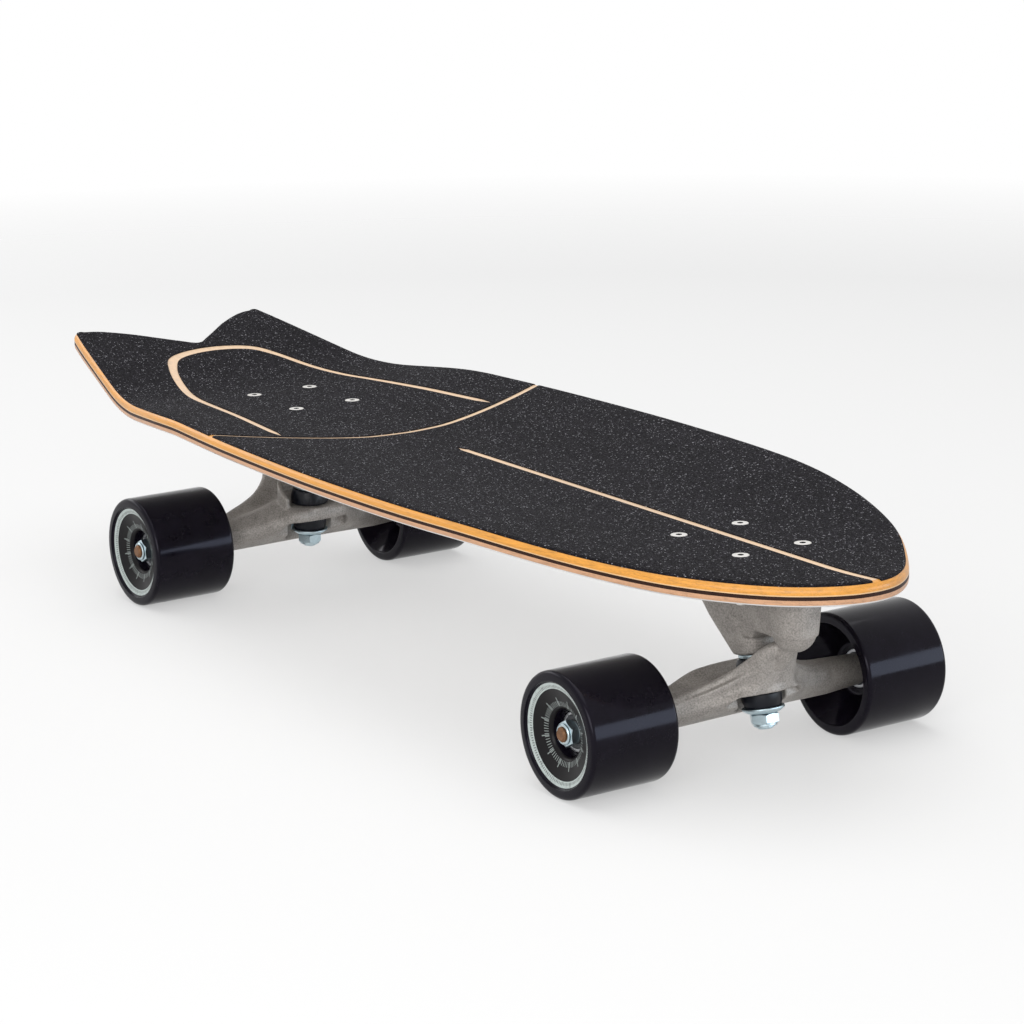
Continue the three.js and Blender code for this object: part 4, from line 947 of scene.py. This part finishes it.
def archForm(name):
    c, t = castSizes, truckPlaces[name]
    top = board["wheelRadius"] + t["archUp"]
    left = besideKingpin(name, c["kingpinBoss"], bossFaceZ)[0]
    right = t["pivotOut"] + c["bodyHalfWidth"] + c["archPast"]
    reach = c["bodyHalfWidth"] + overrun
    ring = roundedRing(left, right, top - overrun, top, c["archRadius"], 0, 8)
    return loft([[(x, end, z) for x, z, _ in ring] for end in (-reach, reach)])


def domed(radius, drop, steps=12):
    ball = [(radius * math.cos(a), radius * math.sin(a)) for a in quarterTurn(steps)]
    return [(0, -drop), (radius, -drop), *ball]


def makeBaseplate(name, material):
    c, z = castSizes, stackSizes
    foot, pin, pivot = truckFrames(name)[:3]
    plate, body, web, boss = baseplateForms(name)
    base = bodyOf(plate, foot, [material])
    combine(base, [bodyOf(body, foot), bodyOf(web, foot)], "UNION")
    combine(base, [bodyOf(archForm(name), foot)], "DIFFERENCE")
    combine(base, [bodyOf(boss, foot @ moved(truckPlaces[name]["pivotOut"]))], "UNION")
    headHole = z["headAcross"] / 2 / math.cos(math.pi / 6) + c["headSpace"]
    cupHole = c["pivot"] + c["cupGap"] + c["cupWall"] + c["gap"]
    face, hole = c["kingpinBoss"] + c["bodyShoulder"], z["kingpinRadius"] + c["gap"]
    seat = z["reach"] - c["gap"]
    pinCut = [(0, bossFaceZ - overrun), (face, bossFaceZ - overrun), (face, bossFaceZ), (hole, bossFaceZ),
              (hole, seat), (headHole, seat), (headHole, seat + overrun), (0, seat + overrun)]
    boltHole = rod(boltSizes["holeRadius"], plateBottom - overrun, board["underside"] + overrun, 24)
    combine(base, [
        bodyOf(turned(pinCut, 64), pin),
        bodyOf(turned(domed(cupHole, overrun), 48), pivot),
        *[bodyOf(boltHole, foot @ moved(x, y)) for x, y in boltPattern()],
    ], "DIFFERENCE")
    castSkin(base, c["plateVoxel"], c["plateSoftening"])
    ready(base, f"{name}_baseplate_casting", [f"{name}_baseplate"], 60)


def makePivotCup(name, material):
    inner = castSizes["pivot"] + castSizes["cupGap"]
    inside, outside = (domed(inner + wall, castSizes["cupDrop"])[1:] for wall in (0, castSizes["cupWall"]))
    form = turned(inside[::-1] + outside, 48)
    addPiece(f"{name}_pivot_cup", "lining", form, truckFrames(name)[2], [material])


# Middle section of each hanger round its axle: angle on the round arm, group that it grows with,
# and place as shares of the way from the axle to the pivot
hangerSections = {
    "front": [
        *((degrees, "casing") for degrees in range(205, 306, 25)),
        (330, "plate", 0.35, 0.02), (345, "plate", 0.475, 0.115), (360, "plate", 0.515, 0.165),
        (375, "face", 0.555, 0.3), (388, "face", 0.6, 0.44), (396, "ridge", 0.655, 0.545),
        (404, "ridge", 0.645, 0.61), (412, "ridge", 0.57, 0.605), (423, "ridge", 0.465, 0.45),
        (438, "plate", 0.34, 0.285), (452, "plate", 0.19, 0.225), (466, "flange", 0.03, 0.21),
        (478, "flange", -0.035, 0.26), (488, "flange", -0.075, 0.282), (500, "flange", -0.12, 0.265),
        (515, "flange", -0.15, 0.17), (540, "flange", -0.15, 0.02),
    ],
    "rear": [
        *((degrees, "casing") for degrees in range(340, 239, -25)),
        (215, "plate", -0.5, 0.04), (198, "plate", -0.67, 0.15), (184, "plate", -0.72, 0.23),
        (170, "plate", -0.71, 0.34), (155, "plate", -0.62, 0.38), (140, "plate", -0.42, 0.42),
        (122, "plate", -0.2, 0.44), (104, "ridge", 0.1, 0.52), (84, "ridge", 0.33, 0.68),
        (70, "ridge", 0.45, 0.79), (60, "ridge", 0.52, 0.81), (50, "ridge", 0.56, 0.76),
        (38, "ridge", 0.45, 0.5), (24, "ridge", 0.3, 0.24), (5, "casing"),
    ],
}
# How much of the middle section is left along the arm, from its middle to the start of its round end
hangerGrowth = {
    "front": {
        "plate": [(0, 1), (0.26, 0.95), (0.35, 0.8), (0.45, 0.58), (0.57, 0.38), (0.71, 0.2), (0.86, 0.08),
                  (1, 0)],
        "ridge": [(0, 1), (0.12, 0.96), (0.2, 0.84), (0.27, 0.62), (0.36, 0.43), (0.47, 0.3), (0.6, 0.19),
                  (0.75, 0.1), (1, 0)],
        "face": [(0, 1), (0.12, 0.97), (0.2, 0.88), (0.27, 0.73), (0.36, 0.57), (0.47, 0.42), (0.6, 0.27),
                 (0.75, 0.13), (1, 0)],
        "flange": [(0, 1), (0.4, 0.9), (0.57, 0.65), (0.71, 0.36), (0.86, 0.12), (1, 0)],
    },
    "rear": {
        "plate": [(0, 1), (0.26, 0.97), (0.35, 0.88), (0.45, 0.7), (0.57, 0.5), (0.71, 0.3), (0.86, 0.12),
                  (1, 0)],
        "ridge": [(0, 1), (0.12, 0.92), (0.2, 0.68), (0.35, 0.45), (0.53, 0.3), (0.78, 0.15), (1, 0)],
    },
}


# Smooth value between the steps of a growth table
def growthAt(table, share):
    points = [Vector(step) for step in table]
    i = next(i for i in range(len(points) - 1) if share <= points[i + 1].x)
    a, b = points[max(i - 1, 0)], points[i]
    c, d = points[i + 1], points[min(i + 2, len(points) - 1)]
    span = c.x - b.x
    u = (share - b.x) / span
    m0 = (c.y - a.y) / max(c.x - a.x, 1e-6) * span if i else 0
    m1 = (d.y - b.y) / max(d.x - b.x, 1e-6) * span
    return ((2 * u ** 3 - 3 * u * u + 1) * b.y + (u ** 3 - 2 * u * u + u) * m0
            + (3 * u * u - 2 * u ** 3) * c.y + (u ** 3 - u * u) * m1)


def armRing(name, y):
    c, t = castSizes, truckPlaces[name]
    share = min(abs(y) / c["armStart"], 1)
    endShare = max((abs(y) - c["armStart"]) / (c["hangerHalf"] - c["armStart"]), 0)
    radius = lerp(lerp(c["casing"], c["arm"], share), c["armEnd"], endShare)
    reach = math.hypot(t["pivotOut"] - t["axleOut"], t["pivotUp"])
    ring = []
    for degrees, group, *place in hangerSections[name]:
        angle = math.radians(degrees)
        grown = 0 if group == "casing" else growthAt(hangerGrowth[name][group], share)
        outShare, upShare = place or (0, 0)
        ring.append(Vector((
            t["axleOut"] + lerp(radius * math.cos(angle), reach * outShare, grown),
            board["wheelRadius"] + lerp(radius * math.sin(angle), reach * upShare, grown),
        )))
    loop = [ring[-1], *ring, ring[0], ring[1]]
    fine = curveThrough(loop, (1, len(ring) + 1), len(ring) * 5)[:-1]
    return [(point.x, y, point.y) for point in fine]


# Swing room in a hanger for the ball of the baseplate's pivot boss
def pivotDishForm(name):
    c = castSizes
    drop = c["pivotBoss"] - c["pivotBossDrop"]
    across, up = drop * math.sin(steerAngle(name)), drop * math.cos(steerAngle(name))
    radius, neck, top = c["pivotBoss"] + c["dishGap"], c["pivotNeck"], up + overrun
    bowl = [(across + radius * math.sin(a), up - radius * math.cos(a)) for a in quarterTurn(16)]
    bowl = [point for point in bowl if point[0] > neck]
    return turned([(neck, up - radius), *bowl, (across + radius, top), (neck, top), (neck, up - radius)], 64)


# Wall round the top bushing's recess, highest on the side of the pivot
def cupWallForm(seat, rise, steps=28):
    c = castSizes
    inner, outer, low = seat - c["seatWallIn"], seat + c["seatWallOut"], ringHalf - c["seatWallRoot"]
    rings = []
    for k in range(steps + 1):
        angle = math.radians(c["seatWallTurn"] * (2 * k / steps - 1))
        top = ringHalf + c["seatWallLift"] + rise * ((1 + math.cos(angle)) / 2) ** c["seatWallPower"]
        section = ((inner, low), (outer, low), (outer, top), (inner, top))
        rings.append([(r * math.cos(angle), r * math.sin(angle), h) for r, h in section])
    return loft(rings)


def makeHanger(name, material):
    c, t, z = castSizes, truckPlaces[name], stackSizes
    foot, pin, pivot, axle = truckFrames(name)
    ys = [c["armStart"] * k / 40 for k in range(1, 41)]
    ys += [lerp(c["armStart"], c["hangerHalf"], k / 6) for k in range(1, 7)]
    stations = [-y for y in reversed(ys)] + [0] + ys
    hanger = bodyOf(loft([armRing(name, y) for y in stations]), foot, [material])
    seat, neck = z["topRadius"] + t["bushingSpace"], c["pivotNeck"]
    nose = [(0, -c["pivotNeckLength"]), (neck, -c["pivotNeckLength"]), (neck, -c["pivotBoss"]),
            *domed(c["pivot"], c["pivotDrop"])[1:]]
    walls = [cupWallForm(seat, t["cupRise"])] if t["cupRise"] else []
    walls.append(rod(z["topRadius"] + c["ringWall"], skin - ringHalf, ringHalf - skin, 72))
    combine(hanger, [*(bodyOf(wall, pin) for wall in walls), bodyOf(turned(nose, 48), pivot)], "UNION")
    hole, pocket = z["kingpinRadius"] + c["kingpinSwing"], z["bottomWasher"] + c["pocketSwing"]
    pinCut = [(0, -overrun), (pocket, -overrun), (pocket, -ringHalf), (hole, -ringHalf), (hole, ringHalf),
              (seat, ringHalf), (seat, overrun), (0, overrun)]
    half, corner = c["slotHalfWidth"], c["slotCorner"]
    slot = [
        roundedRing(ringHalf + skin, ringHalf + overrun, -half, half, corner, depth) for depth in (0, overrun)
    ]
    cutters = [bodyOf(pivotDishForm(name), pivot), bodyOf(turned(pinCut, 72), pin)]
    if t["crownPocket"]:
        half, corner = c["crownHalfWidth"], c["crownCorner"]
        cutters.append(bodyOf(loft([
            roundedRing(-c["crownBack"], t["crownPocket"], -half, half, corner, ringHalf + height)
            for height in (c["crownFloor"], overrun)
        ]), pin))
    cutters += [
        bodyOf(loft(slot), pin @ (spun(t["slotTurn"], "Z") @ spun(math.pi / 2, "Y"))),
        bodyOf(rod(c["axleHole"], -3 * overrun, 3 * overrun), axle @ spun(-math.pi / 2, "X")),
    ]
    combine(hanger, cutters, "DIFFERENCE")
    castSkin(hanger, c["voxel"], c["softening"])
    ready(hanger, f"{name}_hanger_casting", [f"{name}_hanger"], 60)


# Axles and wheels

wheelSizes = {
    "bearingRadius": 11, "bearingWidth": 7, "innerY": 82.75, "outerY": 99.75, "washerY": 107.0, "nutY": 108.2,
    "wheelInner": 63.3, "wheelOuter": 119.1, "recessDepth": 20.3, "recessMouth": 28.5, "recessFloor": 15,
    "hubRecess": 13.4, "hubDish": 5.5, "face": 28.3, "faceDish": 1, "faceStep": 0.6, "lip": 5.5, "crown": 0.4,
    "bendShare": 0.33, "shoulder": 1.6, "gap": 0.15, "axle": 4, "axleHalf": 116.1, "axleThread": 18,
    "washerRadius": 6.2, "washer": 0.9, "nutAcross": 12.7, "nutHeight": 6.3,
}


def wheelForm():
    w, r, lip, gap = wheelSizes, board["wheelRadius"], wheelSizes["lip"], wheelSizes["gap"]
    faceY, bend = w["wheelOuter"] - w["faceDish"], w["bendShare"]
    seat, bore = w["bearingRadius"] + gap, w["bearingRadius"] - w["shoulder"]
    innerEnd, outerStart = w["innerY"] + w["bearingWidth"] + gap, w["outerY"] - gap
    corners = [
        (bore, innerEnd), (bore, outerStart), (seat, outerStart),
        (seat, w["outerY"] + w["bearingWidth"], 0.4),
        (w["hubRecess"], faceY - w["hubDish"], 1.6, 1), (w["face"], faceY - w["faceStep"], 0.6),
        (w["face"] + 0.5, faceY, 0.3), (r - lip, w["wheelOuter"], 1.2),
        (r, w["wheelOuter"] - w["crown"], lip), (r, w["wheelInner"] + w["crown"], lip),
        (r - lip, w["wheelInner"], 1.2), (w["recessMouth"], w["wheelInner"] + w["faceDish"], 1.2),
        (lerp(w["recessFloor"], w["recessMouth"], bend), w["innerY"] - w["recessDepth"] * bend, 8),
        (w["recessFloor"], w["innerY"], 1.5), (seat, w["innerY"], 0.4), (seat, innerEnd),
    ]
    profile, marks = rounded(corners, 8)
    return turned(profile, 128, marks)


def bearingForm():
    w = wheelSizes
    bore, outer, wide = w["axle"] + w["gap"], w["bearingRadius"], w["bearingWidth"]
    corners = [
        (bore, 0, 0.3), (outer, 0, 0.5), (outer, wide, 0.5), (9.3, wide, 0.15), (9.2, wide - 0.35, 0, 1),
        (8.9, wide - 0.35, 0, 1), (8.7, wide - 0.15, 0.2, 1), (6.4, wide - 0.15, 0.2, 1),
        (6.2, wide - 0.6, 0, 1),
        (5.9, wide - 0.6), (5.9, wide - 0.05, 0.12), (bore, wide - 0.05, 0.3),
    ]
    profile, marks = rounded(corners, 4)
    return turned(profile, 96, marks)


def makeWheel(name, side, metals, plastics):
    w, bore = wheelSizes, wheelSizes["axle"] + wheelSizes["gap"]
    node = f"{name}_{'left' if side * math.cos(truckPlaces[name]['turn']) > 0 else 'right'}"
    axle = truckFrames(name)[3]
    end = axle @ spun(0 if side > 0 else math.pi, "Z") @ spun(-math.pi / 2, "X")
    wheelLooks = [plastics["blackUrethane"], printMaterial(f"{node}Print", axle @ Vector((0, 0, 0)))]
    raceLooks = [metals["groundSteel"], plastics["darkShield"]]
    steel = metals["zincSteel"]
    innerEnd = moved(z=w["innerY"] + w["bearingWidth"]) @ spun(math.pi, "X")
    washer = washerForm(w["washerRadius"], bore, w["washer"])
    nut = nutForm(w["nutAcross"], w["nutHeight"], bore)
    for part, label, form, place, materials, sharp in (
        ("wheel", "tyre", wheelForm(), Matrix(), wheelLooks, 28),
        ("outer_bearing", "race", bearingForm(), moved(z=w["outerY"]), raceLooks, 32),
        ("inner_bearing", "race", bearingForm(), innerEnd, raceLooks, 32),
        ("axle_washer", "disc", washer, moved(z=w["washerY"]), [steel], 32),
        ("axle_nut", "hex", nut, moved(z=w["nutY"]), [steel, plastics["whiteNylon"]], 32),
    ):
        addPiece(f"{node}_{part}", label, form, end @ place, materials, sharp)


def makeAxle(name, metals):
    r, end, thread = (wheelSizes[key] for key in ("axle", "axleHalf", "axleThread"))
    profile = [(0, -end), (r - 1, -end), (r, 0.9 - end), (r, thread - end), (r, end - thread), (r, end - 0.9),
               (r - 1, end), (0, end)]
    form = turned(profile, 48, [1, 1, 1, 0, 1, 1, 1])
    line = truckFrames(name)[3] @ spun(-math.pi / 2, "X")
    addPiece(f"{name}_axle", "rod", form, line, [metals["zincSteel"], metals["copperEndThread"]])


# Stage

stageLook = {
    "lens": 116.07, "azimuth": 56.48, "elevation": 13.99, "roll": -1.08, "distance": 1955.48,
    "shift": (5.46, 30.5), "aim": (35.5, 0, 60), "lampAim": (0.03, 0, 0.06),
    "floorColor": 0.93, "floorRadius": 2.2, "floorFade": (0.75, 2), "floorClear": 0.45, "floorDrop": 0.0002,
    "skyLight": 0.5,
}
lampLooks = {
    "topLamp": {"size": (2.2, 1.5), "power": 12.5, "place": (0.1, 0.1, 1.7)},
    "frontPanel": {"size": (1.6, 1.1), "power": 20, "place": (1.5, -1.5, 0.9)},
    "sidePanel": {
        "size": (1.5, 0.54), "power": 11, "place": (1.5, 0.99, 0.3), "color": (0.72, 0.86, 1),
        "glossOnly": True,
    },
    "backPanel": {"size": (1.6, 0.5), "power": 5, "place": (-1.5, -0.6, 0.8)},
}


def makeCamera():
    look = stageLook
    az, el, roll = (math.radians(look[key]) for key in ("azimuth", "elevation", "roll"))
    back = Vector((math.sin(az) * math.cos(el), -math.cos(az) * math.cos(el), math.sin(el)))
    right = Vector((0, 0, 1)).cross(back).normalized()
    up = back.cross(right)
    turnedRight = right * math.cos(roll) + up * math.sin(roll)
    turnedUp = up * math.cos(roll) - right * math.sin(roll)
    across, rise = look["shift"]
    place = Vector(look["aim"]) + turnedRight * across + turnedUp * rise + back * look["distance"]
    camera = bpy.data.objects.new("camera", bpy.data.cameras.new("camera"))
    camera.data.lens = look["lens"]
    camera.data.sensor_width = 36
    camera.data.clip_start, camera.data.clip_end = 0.05, 50
    turn = Matrix((turnedRight, turnedUp, back)).transposed().to_4x4()
    camera.matrix_world = Matrix.Translation(place * mm) @ turn
    bpy.context.scene.collection.objects.link(camera)
    bpy.context.scene.camera = camera


def addLamp(name, look):
    data = bpy.data.lights.new(name, "AREA")
    data.shape = "RECTANGLE"
    data.size, data.size_y = look["size"]
    data.energy = look["power"]
    data.color = look.get("color", (1, 1, 1))
    lamp = bpy.data.objects.new(name, data)
    lamp.location = look["place"]
    lamp.visible_diffuse = not look.get("glossOnly", False)
    lamp.rotation_mode = "QUATERNION"
    lamp.rotation_quaternion = (Vector(stageLook["lampAim"]) - lamp.location).to_track_quat("-Z", "Y")
    bpy.context.scene.collection.objects.link(lamp)


# 1 for rays that show the backdrop: straight from the camera, mirrored or through glass
def seenRay(tree):
    path = addNode(tree, "ShaderNodeLightPath")
    kinds = ("Camera", "Glossy", "Transmission")
    straight, mirrorRay, through = (path.outputs[f"Is {kind} Ray"] for kind in kinds)
    return calc(tree, "MAXIMUM", straight, calc(tree, "MAXIMUM", mirrorRay, through))


def makeFloor(rings=24, spokes=96):
    points = [(0, 0, 0)]
    for i in range(1, rings + 1):
        radius = stageLook["floorRadius"] * i / rings
        for j in range(spokes):
            angle = 2 * math.pi * j / spokes
            points.append((radius * math.cos(angle), radius * math.sin(angle), 0))
    faces = [(0, 1 + j, 1 + (j + 1) % spokes) for j in range(spokes)]
    for i in range(rings - 1):
        for j in range(spokes):
            a, b = 1 + i * spokes + j, 1 + i * spokes + (j + 1) % spokes
            faces.append((a, a + spokes, b + spokes, b))
    mesh = bpy.data.meshes.new("floor")
    mesh.from_pydata(points, [], faces)
    floor = bpy.data.objects.new("floor", mesh)
    floor.location.z = -stageLook["floorDrop"]
    bpy.context.scene.collection.objects.link(floor)
    look = {"color": (stageLook["floorColor"],) * 3, "roughness": 0.9, "specular": 0}
    material, tree, shader = startMaterial("paleFloor", look)
    length = addNode(tree, "ShaderNodeVectorMath", {"operation": "LENGTH"}, {0: placeOn(tree)})
    fade = mapRange(tree, length.outputs["Value"], *stageLook["floorFade"], 0.0, 1.0)
    sheer = calc(tree, "MULTIPLY", seenRay(tree), stageLook["floorClear"])
    below = addNode(tree, "ShaderNodeNewGeometry").outputs["Backfacing"]
    fade = calc(tree, "MAXIMUM", calc(tree, "MAXIMUM", fade, sheer), below)
    clear = addNode(tree, "ShaderNodeBsdfTransparent").outputs[0]
    blend = addNode(tree, "ShaderNodeMixShader", None, {0: fade, 1: shader.outputs[0], 2: clear})
    tree.links.new(blend.outputs[0], tree.nodes["Material Output"].inputs["Surface"])
    mesh.materials.append(material)


def makeWorld():
    world = bpy.data.worlds.new("studio")
    bpy.context.scene.world = world
    world.use_nodes = True
    tree = world.node_tree
    sky = tree.nodes["Background"]
    sky.inputs["Color"].default_value = (1, 1, 1, 1)
    tree.links.new(mapRange(tree, seenRay(tree), 0, 1, stageLook["skyLight"], 1.0), sky.inputs["Strength"])


# Build

metals = {name: metalMaterial(name) for name in metalLooks}
plastics = {name: plasticMaterial(name) for name in plasticLooks}
print("finishes ready")

makeDeck()
makeGrips()
print("deck and grip sheets ready")

for truckName in truckPlaces:
    makeBaseplate(truckName, metals["castAluminium"])
    makeHanger(truckName, metals["castAluminium"])
    makePivotCup(truckName, plastics["blackBushing"])
    makeKingpinStack(truckName, metals, plastics)
    makeBolts(truckName, metals, plastics)
    makeAxle(truckName, metals)
    for wheelSide in (1, -1):
        makeWheel(truckName, wheelSide, metals, plastics)
    print(truckName, "truck and wheels ready")

makeCamera()
makeFloor()
makeWorld()
for lampName, lampLook in lampLooks.items():
    addLamp(lampName, lampLook)
bpy.context.scene.view_settings.view_transform = "Standard"
print("stage ready")
